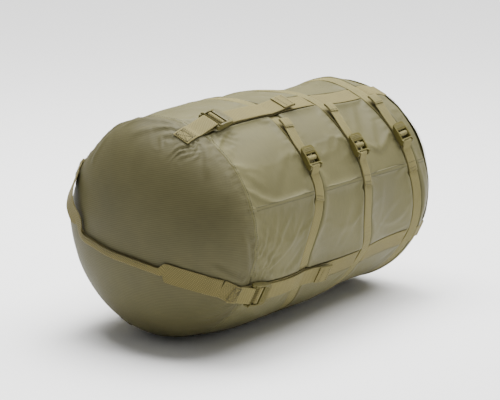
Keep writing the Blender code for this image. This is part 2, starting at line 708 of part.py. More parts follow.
# girth straps
for k in range(3):
    name = "girth_%d" % (k + 1)
    seat = seats[name]
    place_lock("girth_lock_%d" % (k + 1), "girth", seat)
    hang_on(threaded_loop("girth_loop_%d" % (k + 1), seat, GIRTH_W, GIRTH_T),
            pivots["girth_lock_%d" % (k + 1)])
    bar = GIRTH_BAR_PHI
    mm = math.degrees(0.001 / R)
    cols = sorted(c if c <= 180.0 else c - 360.0 for c in COLUMNS)
    # starts below the lock's slot, goes up over the top and all the way round
    start = bar + 7.8 * mm
    stop = bar - 6.0 * mm
    stops = [start] + [c for c in cols if c > start + 0.25] + [c + 360.0 for c in cols if c + 360.0 < stop + 360.0 - 0.25] \
        + [stop + 360.0]
    sts = [girth_station(k, p, 0.0, GIRTH_T) for p in stops]
    # sides: -1 edge first; find which way t points
    tdir = 1.0 if seat.t.dot(girth_edge(k, 1, bar) - girth_edge(k, -1, bar)) > 0 else -1.0
    r = LOCK_BAR_R + 0.00045 + GIRTH_T / 2
    ring = [(-0.0022, LOCK_BAR_H - r)] + loop_points(0, LOCK_BAR_H, r, -90, 100, 7)
    w2 = GIRTH_W / 2
    for i, (s, n) in enumerate(ring):
        a = ring[max(i - 1, 0)]
        b = ring[min(i + 1, len(ring) - 1)]
        d0 = np.array([s - a[0], n - a[1]]) if i else np.array([b[0] - s, b[1] - n])
        d1 = np.array([b[0] - s, b[1] - n]) if i < len(ring) - 1 else d0
        d0 = d0 / np.linalg.norm(d0)
        d1 = d1 / np.linalg.norm(d1)
        dm = (d0 + d1) / np.linalg.norm(d0 + d1)
        us, un = -dm[1], dm[0]
        q = GIRTH_T / 2
        sts.append((seat.at(s - us * q, -tdir * w2, n - un * q), seat.at(s - us * q, tdir * w2, n - un * q),
                    seat.at(s + us * q, tdir * w2, n + un * q), seat.at(s + us * q, -tdir * w2, n + un * q)))
    for p in [stop - 1.2] + [c for c in sorted(cols, reverse=True) if GIRTH_STITCH_PHI + 0.8 < c < stop - 1.6] + [GIRTH_STITCH_PHI]:
        h0 = STACK_GIRTH
        sts.append((girth_edge(k, -1, p, h0 + GIRTH_T), girth_edge(k, 1, p, h0 + GIRTH_T),
                    girth_edge(k, 1, p, h0), girth_edge(k, -1, p, h0)))
    ribbon("girth_strap_%d" % (k + 1), sts, WEB)
    # tail: from below the tab, lying on the strap
    t0 = bar + 22.5 * mm
    t1 = GIRTH_TAIL_PHI[k]
    sts = []
    stops = [t0] + [c for c in cols if t0 + 0.8 < c < t1 - 0.8] + [t1]
    for p in stops:
        lift = 0.0008 if p == t1 else 0.0
        sts.append(girth_station(k, p, STACK_GIRTH + lift, STACK_GIRTH + GIRTH_T + lift))
    ribbon("girth_tail_%d" % (k + 1), sts, WEB)

# strap ends sewn on the lid
for key in "abcd":
    phi = STRAP_PHI[key]
    lo, hi = phi - H, phi + H
    sts = []
    for s, s_h in ((89.0, 1.0), (84.0, 1.0), (79.0, 1.0), (68.0, 1.0), (52.0, 1.0), (44.0, 1.0)):
        w_scale = 1.0
        pts = []
        for off in (LID_DROP - SHELL_T + 0.0008 - GAP, LID_DROP - SHELL_T + 0.0008 - GAP - LONG_T):
            a, rr = dome_profile(s, off, FAR_DEPTH, SHOULDER_R)
            c = polar(BODY_L + a, rr, phi, off)
            tv = Vector((0.0, math.sin(math.radians(phi)), OVAL * math.cos(math.radians(phi))))
            tv.normalize()
            half = min(LONG_W / 2, rr * math.tan(math.radians(H)) if s > 60 else LONG_W / 2)
            pts.append((c - tv * half, c + tv * half))
        sts.append((pts[0][0], pts[0][1], pts[1][1], pts[1][0]))
    ribbon("lid_strap_" + key, sts, WEB)

# ------------------------------------------------------------------ carry handle
# route over the base: (dome angle, phi) of the middle of the webbing
HANDLE_ON = ((63.5, -24.0), (55.0, -24.0), (42.0, -25.0), (29.0, -29.0), (18.0, -38.0),
             (9.0, -72.0), (11.0, -138.0), (20.0, -164.0), (29.0, -172.0))
# then it bows clear of the base: x, y, z in body radii
HANDLE_FREE = ((-.462, .566, .020), (-.460, .640, .110), (-.438, .695, .195),
               (-.375, .738, .275), (-.300, .765, .340))
HANDLE_SEWN = 63.5        # dome angle of both ends
HANDLE_LIFT = 0.0018
GRIP_W = 0.0155
GRIP_T = 0.0040


def base_normal(s, phi):
    return unit(base_skin(s, phi, -0.001) - base_skin(s, phi, 0.0))


knots = [base_skin(s, p, -HANDLE_LIFT) for s, p in HANDLE_ON]
norms = [base_normal(s, p) for s, p in HANDLE_ON]
end_d = base_skin(HANDLE_SEWN, D, -HANDLE_LIFT)
n_d = base_normal(HANDLE_SEWN, D)
for i, q in enumerate(HANDLE_FREE):
    knots.append(Vector(q) * R)
    w = (i + 1.0) / (len(HANDLE_FREE) + 1.0)
    norms.append(unit(norms[8] * (1 - w) + n_d * w))
knots.append(end_d)
norms.append(n_d)


def spline(points, i, t):
    p1, p2 = points[i], points[i + 1]
    p0 = points[i - 1] if i > 0 else p1 * 2 - p2
    p3 = points[i + 2] if i + 2 < len(points) else p2 * 2 - p1
    return 0.5 * ((2 * p1) + (p2 - p0) * t + (2 * p0 - 5 * p1 + 4 * p2 - p3) * t * t
                  + (3 * p1 - p0 - 3 * p2 + p3) * t ** 3)


def handle_at(u):
    i = min(int(u), len(knots) - 2)
    t = u - i
    c = spline(knots, i, t)
    d = unit(spline(knots, i, min(t + 0.02, 1.0)) - spline(knots, i, max(t - 0.02, 0.0)))
    n = norms[i].lerp(norms[i + 1], t)
    n = unit(n - d * n.dot(d))
    return c, d, n


def handle_piece(name, u0, u1, count, shape):
    """Part of the handle between two knots; shape(f) gives (width, thickness)."""
    sts = []
    for i in range(count + 1):
        f = i / count
        c, d, n = handle_at(u0 + (u1 - u0) * f)
        w, th = shape(f)
        side = unit(d.cross(n)) * (w / 2)
        q = n * (LONG_T / 2)
        sts.append((c - side - q, c + side - q, c + side - q + n * th, c - side - q + n * th))
    return ribbon(name, sts, WEB)


flat = lambda f: (LONG_W, LONG_T)
CUTS = (0.0, 1.35, 3.9, 8.15, 12.2, 14.0)
EPS = 0.012
handle_piece("handle_end_b", CUTS[0] + 0.04, CUTS[1] - EPS, 4, flat)
handle_piece("handle_web_b", CUTS[1], CUTS[2] - EPS, 8,
             lambda f: (LONG_W - (LONG_W - GRIP_W) * max(0.0, (f - 0.75) / 0.25) ** 1.0,
                        LONG_T + (GRIP_T - LONG_T) * max(0.0, (f - 0.75) / 0.25)))
handle_piece("handle_grip", CUTS[2], CUTS[3], 12, lambda f: (GRIP_W, GRIP_T))
handle_piece("handle_web_d", CUTS[3] + 0.03, CUTS[4], 12,
             lambda f: (GRIP_W + (LONG_W - GRIP_W) * min(1.0, f / 0.22),
                        GRIP_T + (LONG_T - GRIP_T) * min(1.0, f / 0.22)))
handle_piece("handle_end_d", CUTS[4] + 0.03, CUTS[5] - 0.05, 4, flat)


def patch(name, phi0, phi1, s0, s1):
    """Webbing sewn flat on the base."""
    sts = []
    for i in range(4):
        f = i / 3
        s = s0 + (s1 - s0) * f
        phi = phi0 + (phi1 - phi0) * f
        c = base_skin(s, phi, -HANDLE_LIFT)
        n = base_normal(s, phi)
        ahead = base_skin(s + 1.0, phi + (phi1 - phi0) / (s1 - s0), -HANDLE_LIFT)
        d = unit(ahead - c)
        side = unit(d.cross(n)) * (LONG_W / 2)
        q = n * (LONG_T / 2)
        sts.append((c - side - q, c + side - q, c + side + q, c - side + q))
    return ribbon(name, sts, WEB)


patch("handle_patch_b", -24.3, -26.3, 66.5, 73.6)
patch("handle_patch_d", 153.0, 153.0, 67.4, 75.4)

# the handle swings about a line close to the chord between its sewn ends; the
# webbing next to each end twists, so the line lies a little above and outside it
chord = unit(knots[-1] - knots[0])
outward = Vector((-1.0, 0.0, 0.0))
upward = outward.cross(chord)
if upward.z < 0:
    upward = -upward
hinge_b = knots[0] + upward * (0.12 * R) + outward * (0.08 * R)
hinge_d = knots[-1] + upward * (0.04 * R) + outward * (0.08 * R)
handle_pivot = bpy.data.objects.new("handle_pivot", None)
bpy.context.scene.collection.objects.link(handle_pivot)
handle_pivot.parent = root
pivot_places[handle_pivot.name] = Matrix.Translation((hinge_b + hinge_d) / 2)
handle_pivot.matrix_local = pivot_places[handle_pivot.name]
for part_name in ("handle_end_b", "handle_web_b", "handle_grip", "handle_web_d", "handle_end_d"):
    hang_on(bpy.data.objects[part_name], handle_pivot)
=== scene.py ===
import bpy
import bmesh
import math
import numpy as np
from mathutils import Matrix, Vector


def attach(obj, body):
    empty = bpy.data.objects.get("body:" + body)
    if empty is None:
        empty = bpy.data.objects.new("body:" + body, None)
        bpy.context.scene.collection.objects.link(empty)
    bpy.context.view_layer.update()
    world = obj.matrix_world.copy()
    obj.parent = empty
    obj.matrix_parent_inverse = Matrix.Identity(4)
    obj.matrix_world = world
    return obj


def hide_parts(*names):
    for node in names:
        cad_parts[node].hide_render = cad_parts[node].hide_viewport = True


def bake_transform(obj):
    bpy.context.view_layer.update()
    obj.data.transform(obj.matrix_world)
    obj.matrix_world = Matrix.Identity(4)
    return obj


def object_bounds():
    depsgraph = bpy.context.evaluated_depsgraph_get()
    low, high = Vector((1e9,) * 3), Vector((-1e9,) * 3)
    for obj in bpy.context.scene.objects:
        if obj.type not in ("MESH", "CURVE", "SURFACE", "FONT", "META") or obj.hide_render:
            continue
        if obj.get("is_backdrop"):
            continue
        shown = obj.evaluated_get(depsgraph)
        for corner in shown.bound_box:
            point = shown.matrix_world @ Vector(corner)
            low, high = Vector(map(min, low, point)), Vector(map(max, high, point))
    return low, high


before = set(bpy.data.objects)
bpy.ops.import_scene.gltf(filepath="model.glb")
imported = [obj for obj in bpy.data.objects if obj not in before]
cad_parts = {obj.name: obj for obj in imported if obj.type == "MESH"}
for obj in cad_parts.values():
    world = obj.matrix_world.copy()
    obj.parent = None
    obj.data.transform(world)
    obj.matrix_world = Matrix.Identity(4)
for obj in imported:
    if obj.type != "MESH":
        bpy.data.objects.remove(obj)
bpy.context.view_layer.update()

# ------------------------------------------------------------------ the frame's dimensions
R = 0.175
OVAL = 0.98
BODY_L = 2.6 * R
FLOOR = 0.975 * R
BASE_DEPTH = 0.531 * R
FAR_DEPTH = 0.231 * R
SEAM_R = 0.964 * R
BELT_R = (1.0 * R, 0.995 * R, 0.95 * R)
SHOULDER_R = 0.918 * R
BULGE = (0.036 * R, 0.016 * R, -0.019 * R, 0.021 * R)
LONG_W, LONG_T = 0.030, 0.0018
GIRTH_W, GIRTH_T = 0.020, 0.0015
GAP = 0.0004
MOUTH_R = 0.026
STRAP_PHI = {"a": 68.5, "b": -27.0, "c": -113.0, "d": 153.0}
H = 4.95
SEAM_PHI = (17.0, 197.0)
LOCK_X = {"a": 0.0255, "b": 0.0060, "c": 0.0200, "d": 0.0230}
TAIL_X = {"a": 0.990 * R, "b": 0.83 * R, "c": 0.93 * R, "d": 0.93 * R}
LOCK_SINK = {"a": 0.0, "b": 0.0, "c": 0.0050, "d": 0.0}
ROUTES = (
    ((-60, .90), (-35, .74), (-15, .69), (-3, .75), (8, .84), (20, .89), (45, .88),
     (62, .89), (80, .86), (95, .82), (130, .80), (180, .80), (230, .82), (270, .87)),
    ((-60, 1.50), (-34, 1.57), (-21, 1.62), (-4, 1.56), (12, 1.585), (26, 1.60),
     (47, 1.585), (61, 1.585), (76, 1.54), (94, 1.37), (130, 1.37), (180, 1.44),
     (235, 1.49), (270, 1.49)),
    ((-60, 2.38), (-34, 2.41), (-20, 2.43), (-4, 2.40), (12, 2.355), (30, 2.33),
     (48, 2.305), (66, 2.30), (80, 2.33), (98, 2.41), (130, 2.40), (180, 2.37),
     (235, 2.36), (270, 2.36)),
)
GIRTH_BAR_PHI = 28.9
GIRTH_STITCH_PHI = 12.5
GIRTH_TAIL_PHI = (57.5, 60.0, 60.5)
LOCK_BAR_H, LOCK_BAR_R = 0.0046, 0.0019
LOCK_MID_S, LOCK_MID_H = 0.0140, 0.0054
LOCK_LEN = 0.0335
OFF = np.array((-0.198235, 0.0, FLOOR))
STACK_LONG = LONG_T + GAP
STACK_GIRTH = GIRTH_T + GAP
scene = bpy.context.scene

# ------------------------------------------------------------------ camera at the photograph's angle
cam_data = bpy.data.cameras.new("camera")
cam_data.sensor_width = 36.0
cam_data.lens = 151.7
cam_data.clip_start, cam_data.clip_end = 0.05, 60.0
camera = bpy.data.objects.new("camera", cam_data)
scene.collection.objects.link(camera)
camera.location = (-2.4943, -1.9816, 0.9298)
look = Vector((0.0138, 0.0086, 0.1710)) - camera.location
camera.rotation_mode = "QUATERNION"
camera.rotation_quaternion = look.to_track_quat("-Z", "Y")
scene.camera = camera


# ------------------------------------------------------------------ helpers
def smooth(a, b, x):
    t = np.clip((np.asarray(x, float) - a) / (b - a), 0.0, 1.0)
    return t * t * (3 - 2 * t)


def wrap(d):
    return (np.asarray(d, float) + 180.0) % 360.0 - 180.0


def hash01(i, j, k):
    n = (i.astype(np.int64) * 73856093) ^ (j.astype(np.int64) * 19349663) ^ (k * 83492791)
    n = (n ^ (n >> 13)) & 0x7FFFFFFF
    n = (n * (n * n * 15731 + 789221) + 1376312589) & 0x7FFFFFFF
    return n / 2147483647.0


def noise2(x, y, seed=0):
    """Smooth value noise from -1 to 1."""
    x, y = np.asarray(x, float), np.asarray(y, float)
    i, j = np.floor(x), np.floor(y)
    u, v = x - i, y - j
    u, v = u * u * (3 - 2 * u), v * v * (3 - 2 * v)
    a, b = hash01(i, j, seed), hash01(i + 1, j, seed)
    c, d = hash01(i, j + 1, seed), hash01(i + 1, j + 1, seed)
    return 2 * ((a * (1 - u) + b * u) * (1 - v) + (c * (1 - u) + d * u) * v) - 1


def fractal(x, y, seed=0, octaves=3):
    s, amp, tot = 0.0, 1.0, 0.0
    for o in range(octaves):
        s = s + amp * noise2(np.asarray(x) * 2 ** o + 7.3 * o, np.asarray(y) * 2 ** o - 3.1 * o, seed + o)
        tot += amp
        amp *= 0.5
    return s / tot


def route_one(k, phi):
    pts = sorted(((p + 540.0) % 360.0 - 180.0, v) for p, v in ROUTES[k])
    p = np.array([q[0] for q in pts])
    v = np.array([q[1] for q in pts])
    p = np.concatenate([p[-2:] - 360, p, p[:2] + 360])
    v = np.concatenate([v[-2:], v, v[:2]])
    a = (phi + 540.0) % 360.0 - 180.0
    i = int(np.clip(np.searchsorted(p, a, side="right") - 1, 1, len(p) - 3))
    h = p[i + 1] - p[i]
    t = (a - p[i]) / h
    m0 = (v[i + 1] - v[i - 1]) / (p[i + 1] - p[i - 1]) * h
    m1 = (v[i + 2] - v[i]) / (p[i + 2] - p[i]) * h
    return R * float((2 * t**3 - 3 * t**2 + 1) * v[i] + (t**3 - 2 * t**2 + t) * m0
                     + (-2 * t**3 + 3 * t**2) * v[i + 1] + (t**3 - t**2) * m1)


ROUTE_TAB = [np.array([route_one(k, a * 0.5) for a in range(721)]) for k in range(3)]


def route(k, phi):
    return np.interp(np.asarray(phi, float) % 360.0, np.arange(721) * 0.5, ROUTE_TAB[k])


def route_half(k, phi, w):
    slope = (route(k, np.asarray(phi) + 1.5) - route(k, np.asarray(phi) - 1.5)) / (R * math.radians(3.0))
    return 0.5 * w * np.sqrt(1.0 + slope * slope)


def env(x, phi):
    x, phi = np.broadcast_arrays(np.asarray(x, float), np.asarray(phi, float))
    xs = [np.zeros_like(x), route(0, phi), route(1, phi), route(2, phi), np.full_like(x, BODY_L)]
    rs = [SEAM_R, *BELT_R, SHOULDER_R]
    out = np.zeros_like(x)
    for k in range(4):
        t = (x - xs[k]) / (xs[k + 1] - xs[k])
        val = (1 - t) * rs[k] + t * rs[k + 1] + BULGE[k] * 4 * t * (1 - t)
        use = (x > xs[k]) if k else np.ones_like(x, bool)
        out = np.where(use, val, out)
    return out


def polar(x, r, phi, depth):
    a = np.radians(phi)
    x, r, a, depth = np.broadcast_arrays(np.asarray(x, float), np.asarray(r, float), a, np.asarray(depth, float))
    return np.stack([x, -r * np.cos(a), np.maximum(OVAL * r * np.sin(a), -FLOOR + depth)], -1)


def side_skin(x, phi, depth):
    return polar(x, env(x, phi) - depth, phi, depth)


def dome_profile(s, depth, deep, rim):
    s = np.asarray(s, float)

    def f(q):
        q = np.radians(q)
        return deep * np.cos(q), rim * np.abs(np.sin(q)) ** 0.9
    a0, r0 = f(np.maximum(s - 0.5, 0.01))
    a1, r1 = f(np.minimum(s + 0.5, 90.0))
    a, r = f(s)
    ta, tr = a1 - a0, r1 - r0
    n = np.hypot(ta, tr)
    na, nr = tr / n, -ta / n
    pole = s < 0.5
    return np.where(pole, deep - depth, a - na * depth), np.where(pole, 0.0, r - nr * depth)


def base_skin(s, phi, depth):
    a, r = dome_profile(s, depth, BASE_DEPTH, SEAM_R)
    return polar(-a, r, phi, depth)


def far_skin(s, phi, depth):
    a, r = dome_profile(s, depth, FAR_DEPTH, SHOULDER_R)
    return polar(BODY_L + a, r, phi, depth)


def base_normal(s, phi):
    n = base_skin(s, phi, -0.001) - base_skin(s, phi, 0.0)
    return n / np.linalg.norm(n, axis=-1, keepdims=True)


def far_normal(s, phi):
    n = far_skin(s, phi, -0.001) - far_skin(s, phi, 0.0)
    return n / np.linalg.norm(n, axis=-1, keepdims=True)


def unit_rows(v):
    v = np.asarray(v, float)
    return v / np.maximum(np.linalg.norm(v, axis=-1, keepdims=True), 1e-12)


# ------------------------------------------------------------------ materials
def hexlin(r, g, b):
    return tuple(((c / 255.0) / 12.92 if c / 255.0 <= 0.04045 else ((c / 255.0 + 0.055) / 1.055) ** 2.4)
                 for c in (r, g, b))


class Tree:
    def __init__(self, name):
        self.m = bpy.data.materials.new(name)
        self.m.use_nodes = True
        self.nt = self.m.node_tree
        self.b = self.nt.nodes["Principled BSDF"]

    def new(self, kind, **kw):
        n = self.nt.nodes.new("ShaderNode" + kind)
        for k, v in kw.items():
            setattr(n, k, v)
        return n

    def link(self, a, b):
        self.nt.links.new(a, b)

    def math(self, op, a, b=None, c=None):
        n = self.new("Math", operation=op)
        for i, v in enumerate((a, b, c)):
            if v is None:
                continue
            if isinstance(v, (int, float)):
                n.inputs[i].default_value = v
            else:
                self.link(v, n.inputs[i])
        return n.outputs[0]

    def uv(self):
        n = self.new("UVMap")
        n.uv_map = "weave"
        s = self.new("SeparateXYZ")
        self.link(n.outputs["UV"], s.inputs[0])
        return n.outputs["UV"], s.outputs[0], s.outputs[1]

    def noise(self, vec, scale, detail=3.0, rough=0.55, stretch=None):
        if stretch is not None:
            mp = self.new("Mapping")
            mp.inputs["Scale"].default_value = stretch
            self.link(vec, mp.inputs["Vector"])
            vec = mp.outputs[0]
        n = self.new("TexNoise")
        n.inputs["Scale"].default_value = scale
        n.inputs["Detail"].default_value = detail
        n.inputs["Roughness"].default_value = rough
        self.link(vec, n.inputs["Vector"])
        return n.outputs["Fac"]

    def ramp(self, fac, lo, hi, c0, c1):
        n = self.new("ValToRGB")
        n.color_ramp.elements[0].position = lo
        n.color_ramp.elements[1].position = hi
        n.color_ramp.elements[0].color = (*c0, 1)
        n.color_ramp.elements[1].color = (*c1, 1)
        self.link(fac, n.inputs[0])
        return n.outputs[0]

    def mix(self, fac, a, b, mode="MIX"):
        n = self.new("Mix", data_type="RGBA", blend_type=mode)
        if isinstance(fac, (int, float)):
            n.inputs[0].default_value = fac
        else:
            self.link(fac, n.inputs[0])
        for i, v in ((6, a), (7, b)):
            if isinstance(v, tuple):
                n.inputs[i].default_value = (*v, 1)
            else:
                self.link(v, n.inputs[i])
        return n.outputs[2]

    def bump(self, height, strength, distance, normal=None):
        n = self.new("Bump")
        n.inputs["Strength"].default_value = strength
        n.inputs["Distance"].default_value = distance
        self.link(height, n.inputs["Height"])
        if normal is not None:
            self.link(normal, n.inputs["Normal"])
        return n.outputs[0]


def fabric_material(name, color, rough, sheen, weave=0.0011, rib=0.35):
    t = Tree(name)
    uv, u, v = t.uv()
    geo = t.new("TexCoord").outputs["Object"]
    # plain weave: warp and weft yarns that pass over each other in turn
    a = t.math("SINE", t.math("MULTIPLY", u, 2 * math.pi / weave))
    b = t.math("SINE", t.math("MULTIPLY", v, 2 * math.pi / weave))
    woven = t.math("MULTIPLY", a, b)
    ribs = t.math("SINE", t.math("MULTIPLY", v, 2 * math.pi / (weave * 2.6)))
    slub = t.noise(uv, 1.0, 2.0, 0.6, stretch=(60.0, 900.0, 1.0))
    cloudy = t.noise(geo, 9.0, 4.0, 0.55)
    fine = t.noise(geo, 60.0, 2.0, 0.5)
    dark = tuple(c * 0.86 for c in color)
    light = tuple(min(1.0, c * 1.13) for c in color)
    base = t.ramp(cloudy, 0.32, 0.70, dark, light)
    yarn = t.ramp(slub, 0.35, 0.68, (0.90, 0.90, 0.90), (1.07, 1.07, 1.06))
    base = t.mix(0.75, base, yarn, "MULTIPLY")
    lines = t.ramp(t.math("MULTIPLY_ADD", ribs, 0.5, 0.5), 0.0, 1.0, (0.80, 0.80, 0.79), (1.08, 1.08, 1.08))
    base = t.mix(rib, base, lines, "MULTIPLY")
    t.link(base, t.b.inputs["Base Color"])
    r = t.new("MapRange")
    r.inputs["From Min"].default_value, r.inputs["From Max"].default_value = 0.3, 0.7
    r.inputs["To Min"].default_value, r.inputs["To Max"].default_value = rough - 0.06, rough + 0.07
    t.link(cloudy, r.inputs[0])
    t.link(r.outputs[0], t.b.inputs["Roughness"])
    n1 = t.bump(woven, 0.35, 0.00008)
    n2 = t.bump(slub, 0.25, 0.00012, n1)
    n3 = t.bump(fine, 0.10, 0.0006, n2)
    t.link(n3, t.b.inputs["Normal"])
    t.b.inputs["Sheen Weight"].default_value = sheen
    t.b.inputs["Sheen Roughness"].default_value = 0.45
    t.b.inputs["Sheen Tint"].default_value = (0.93, 0.90, 0.78, 1)
    t.b.inputs["Specular IOR Level"].default_value = 0.15
    return t.m


def web_material(name, color, pitch_u=0.0021, pitch_v=0.0030, half=0.015):
    """Woven webbing: staggered floats with a denser edge.  u across, v along, in metres."""
    t = Tree(name)
    uv, u, v = t.uv()
    geo = t.new("TexCoord").outputs["Object"]
    cell = t.math("DIVIDE", u, pitch_u)
    col = t.math("FLOOR", cell)
    inside = t.math("SINE", t.math("MULTIPLY", t.math("FRACT", cell), math.pi))
    along = t.math("ADD", t.math("DIVIDE", v, pitch_v), t.math("MULTIPLY", col, 0.5))
    wave = t.math("MULTIPLY_ADD", t.math("SINE", t.math("MULTIPLY", along, 2 * math.pi)), 0.5, 0.5)
    floats = t.math("MULTIPLY", inside, t.math("MULTIPLY_ADD", wave, 0.75, 0.25))
    shade = t.ramp(floats, 0.05, 0.85, tuple(c * 0.42 for c in color), tuple(min(1, c * 1.20) for c in color))
    cloudy = t.noise(geo, 22.0, 3.0, 0.6)
    tone = t.ramp(cloudy, 0.3, 0.72, (0.90, 0.90, 0.88), (1.08, 1.07, 1.06))
    base = t.mix(1.0, shade, tone, "MULTIPLY")
    edge = t.math("GREATER_THAN", t.math("ABSOLUTE", u), half - 0.0011)
    base = t.mix(t.math("MULTIPLY", edge, 0.35), base, tuple(c * 0.80 for c in color))
    t.link(base, t.b.inputs["Base Color"])
    rr = t.new("MapRange")
    rr.inputs["To Min"].default_value, rr.inputs["To Max"].default_value = 0.66, 0.88
    t.link(cloudy, rr.inputs[0])
    t.link(rr.outputs[0], t.b.inputs["Roughness"])
    n1 = t.bump(floats, 0.75, 0.00032)
    fuzz = t.noise(geo, 1400.0, 2.0, 0.6)
    n2 = t.bump(fuzz, 0.25, 0.00015, n1)
    t.link(n2, t.b.inputs["Normal"])
    t.b.inputs["Sheen Weight"].default_value = 0.05
    t.b.inputs["Sheen Roughness"].default_value = 0.5
    t.b.inputs["Sheen Tint"].default_value = (0.90, 0.86, 0.70, 1)
    t.b.inputs["Specular IOR Level"].default_value = 0.2
    return t.m


def plastic_material(name, color):
    t = Tree(name)
    geo = t.new("TexCoord").outputs["Object"]
    cloudy = t.noise(geo, 55.0, 3.0, 0.6)
    grain = t.noise(geo, 900.0, 2.0, 0.6)
    scuff = t.noise(geo, 260.0, 5.0, 0.7)
    base = t.ramp(cloudy, 0.3, 0.72, tuple(c * 0.88 for c in color), tuple(c * 1.12 for c in color))
    worn = t.ramp(scuff, 0.62, 0.74, (0.0, 0.0, 0.0), (1.0, 1.0, 1.0))
    base = t.mix(t.math("MULTIPLY", worn, 0.12), base, tuple(min(1, c * 1.7) for c in color))
    t.link(base, t.b.inputs["Base Color"])
    rr = t.new("MapRange")
    rr.inputs["To Min"].default_value, rr.inputs["To Max"].default_value = 0.38, 0.55
    t.link(scuff, rr.inputs[0])
    t.link(rr.outputs[0], t.b.inputs["Roughness"])
    n1 = t.bump(grain, 0.12, 0.0001)
    t.link(n1, t.b.inputs["Normal"])
    t.b.inputs["Specular IOR Level"].default_value = 0.17
    return t.m


def thread_material(name, color):
    t = Tree(name)
    geo = t.new("TexCoord").outputs["Object"]
    ply = t.noise(geo, 1500.0, 2.0, 0.5)
    base = t.ramp(ply, 0.3, 0.7, tuple(c * 0.75 for c in color), tuple(c * 1.15 for c in color))
    t.link(base, t.b.inputs["Base Color"])
    t.link(t.bump(ply, 0.4, 0.0001), t.b.inputs["Normal"])
    t.b.inputs["Roughness"].default_value = 0.55
    t.b.inputs["Specular IOR Level"].default_value = 0.35
    return t.m


SIDE_COL = hexlin(96, 92, 62)
# the base panel is the side fabric: its colour is set darker as painted shade, for the shade that falls on the base
BASE_PAINTED_SHADE_COL = hexlin(80, 76, 50)
WEB_COL = hexlin(121, 112, 68)
GIRTH_COL = hexlin(124, 116, 72)
GRIP_COL = hexlin(106, 97, 56)
PLAST_COL = hexlin(82, 76, 36)
M_SIDE = fabric_material("side_fabric", SIDE_COL, 0.52, 0.0)
# the base fabric carries that darker colour of painted shade
M_BASE_PAINTED_SHADE = fabric_material("base_fabric", BASE_PAINTED_SHADE_COL, 0.56, 0.0, rib=1.0)
M_WEB = web_material("strap_webbing", WEB_COL)
M_GIRTH = web_material("girth_webbing", GIRTH_COL, 0.0019, 0.0024, half=0.010)
M_GRIP = web_material("handle_webbing", GRIP_COL)
M_PLASTIC = plastic_material("buckle_plastic", PLAST_COL)
# the thread is the fabric's olive: both thread colours are darkened as painted shade for the shadowed stitch holes,
# the seam thread the most
M_THREAD_PAINTED_SHADE = thread_material("thread", hexlin(58, 53, 29))
M_SEAM_THREAD_PAINTED_SHADE = thread_material("seam_thread", hexlin(42, 39, 22))


# ------------------------------------------------------------------ mesh helpers
def make(name, verts, faces, mat, uv=None, smooth_angle=None, world=True):
    """A mesh object from sack coordinates.  uv is one row per face corner."""
    v = np.asarray(verts, float)
    if world:
        v = v + OFF
    me = bpy.data.meshes.new(name)
    me.from_pydata(v.tolist(), [], [tuple(int(i) for i in f) for f in faces])
    me.update()
    if uv is not None:
        layer = me.uv_layers.new(name="weave")
        layer.data.foreach_set("uv", np.asarray(uv, np.float32).ravel())
    me.materials.append(mat)
    me.shade_smooth()
    if smooth_angle is not None:
        me.set_sharp_from_angle(angle=math.radians(smooth_angle))
    ob = bpy.data.objects.new(name, me)
    scene.collection.objects.link(ob)
    return ob


def fix_normals(ob):
    bm = bmesh.new()
    bm.from_mesh(ob.data)
    bmesh.ops.recalc_face_normals(bm, faces=bm.faces)
    bm.to_mesh(ob.data)
    bm.free()


def join(name, obs):
    """One object from several, keeping materials and the weave map."""
    base = obs[0]
    if len(obs) > 1:
        with bpy.context.temp_override(active_object=base, object=base, selected_objects=obs,
                                       selected_editable_objects=obs):
            bpy.ops.object.join()
    base.name = name
    base.data.name = name
    return base


# cross-section of webbing: flat faces with soft selvages, (across, through) from -1 to 1
def section(w, th):
    e = min(0.5 * th, 0.0009)
    x = [-1 + e / (w / 2) * 0.9, -0.72, -0.36, 0.0, 0.36, 0.72, 1 - e / (w / 2) * 0.9]
    pts = [(q, 1.0) for q in x] + [(1 - e / w * 0.5, 0.62), (1.0, 0.0), (1 - e / w * 0.5, -0.62)]
    pts += [(-q, -1.0) for q in x] + [(-1 + e / w * 0.5, -0.62), (-1.0, 0.0), (-1 + e / w * 0.5, 0.62)]
    return np.array(pts)


def webbing(name, P, N, width, thick, mat, v0=0.0, wave=0.00025, seed=1, side=None):
    """Closed strip of webbing along centre points P with outward normals N (sack coordinates)."""
    P, N = np.asarray(P, float), unit_rows(N)
    n = len(P)
    T = unit_rows(np.gradient(P, axis=0))
    S = unit_rows(np.cross(T, N)) if side is None else unit_rows(side)
    U = unit_rows(np.cross(S, T))
    U *= np.sign((U * N).sum(1))[:, None] + (np.abs((U * N).sum(1)) < 1e-9)[:, None]
    w = np.broadcast_to(np.asarray(width, float), (n,))
    th = np.broadcast_to(np.asarray(thick, float), (n,))
    L = np.concatenate([[0], np.cumsum(np.linalg.norm(np.diff(P, axis=0), axis=1))]) + v0
    sec = section(float(w.max()), float(th.max()))
    m = len(sec)
    wob = wave * noise2(L / 0.011, np.zeros(n), seed)
    rows = []
    for i in range(n):
        a = sec[:, 0] * w[i] / 2
        b = sec[:, 1] * th[i] / 2
        # the faces are very slightly cupped between the selvages
        cup = 0.00012 * (1 - sec[:, 0] ** 2)
        rows.append(P[i] + np.outer(a + wob[i], S[i]) + np.outer(b + cup * np.sign(b), U[i]))
    V = np.concatenate(rows)
    F, UVc = [], []
    ua = np.concatenate([sec[:, 0]]) * w.max() / 2
    for i in range(n - 1):
        for j in range(m):
            k = (j + 1) % m
            F.append((i * m + j, i * m + k, (i + 1) * m + k, (i + 1) * m + j))
            UVc += [(ua[j], L[i]), (ua[k], L[i]), (ua[k], L[i + 1]), (ua[j], L[i + 1])]
    F.append(tuple(range(m))[::-1])
    UVc += [(ua[j], L[0]) for j in range(m)][::-1]
    F.append(tuple((n - 1) * m + j for j in range(m)))
    UVc += [(ua[j], L[-1]) for j in range(m)]
    ob = make(name, V, F, mat, UVc, smooth_angle=55)
    fix_normals(ob)
    return ob


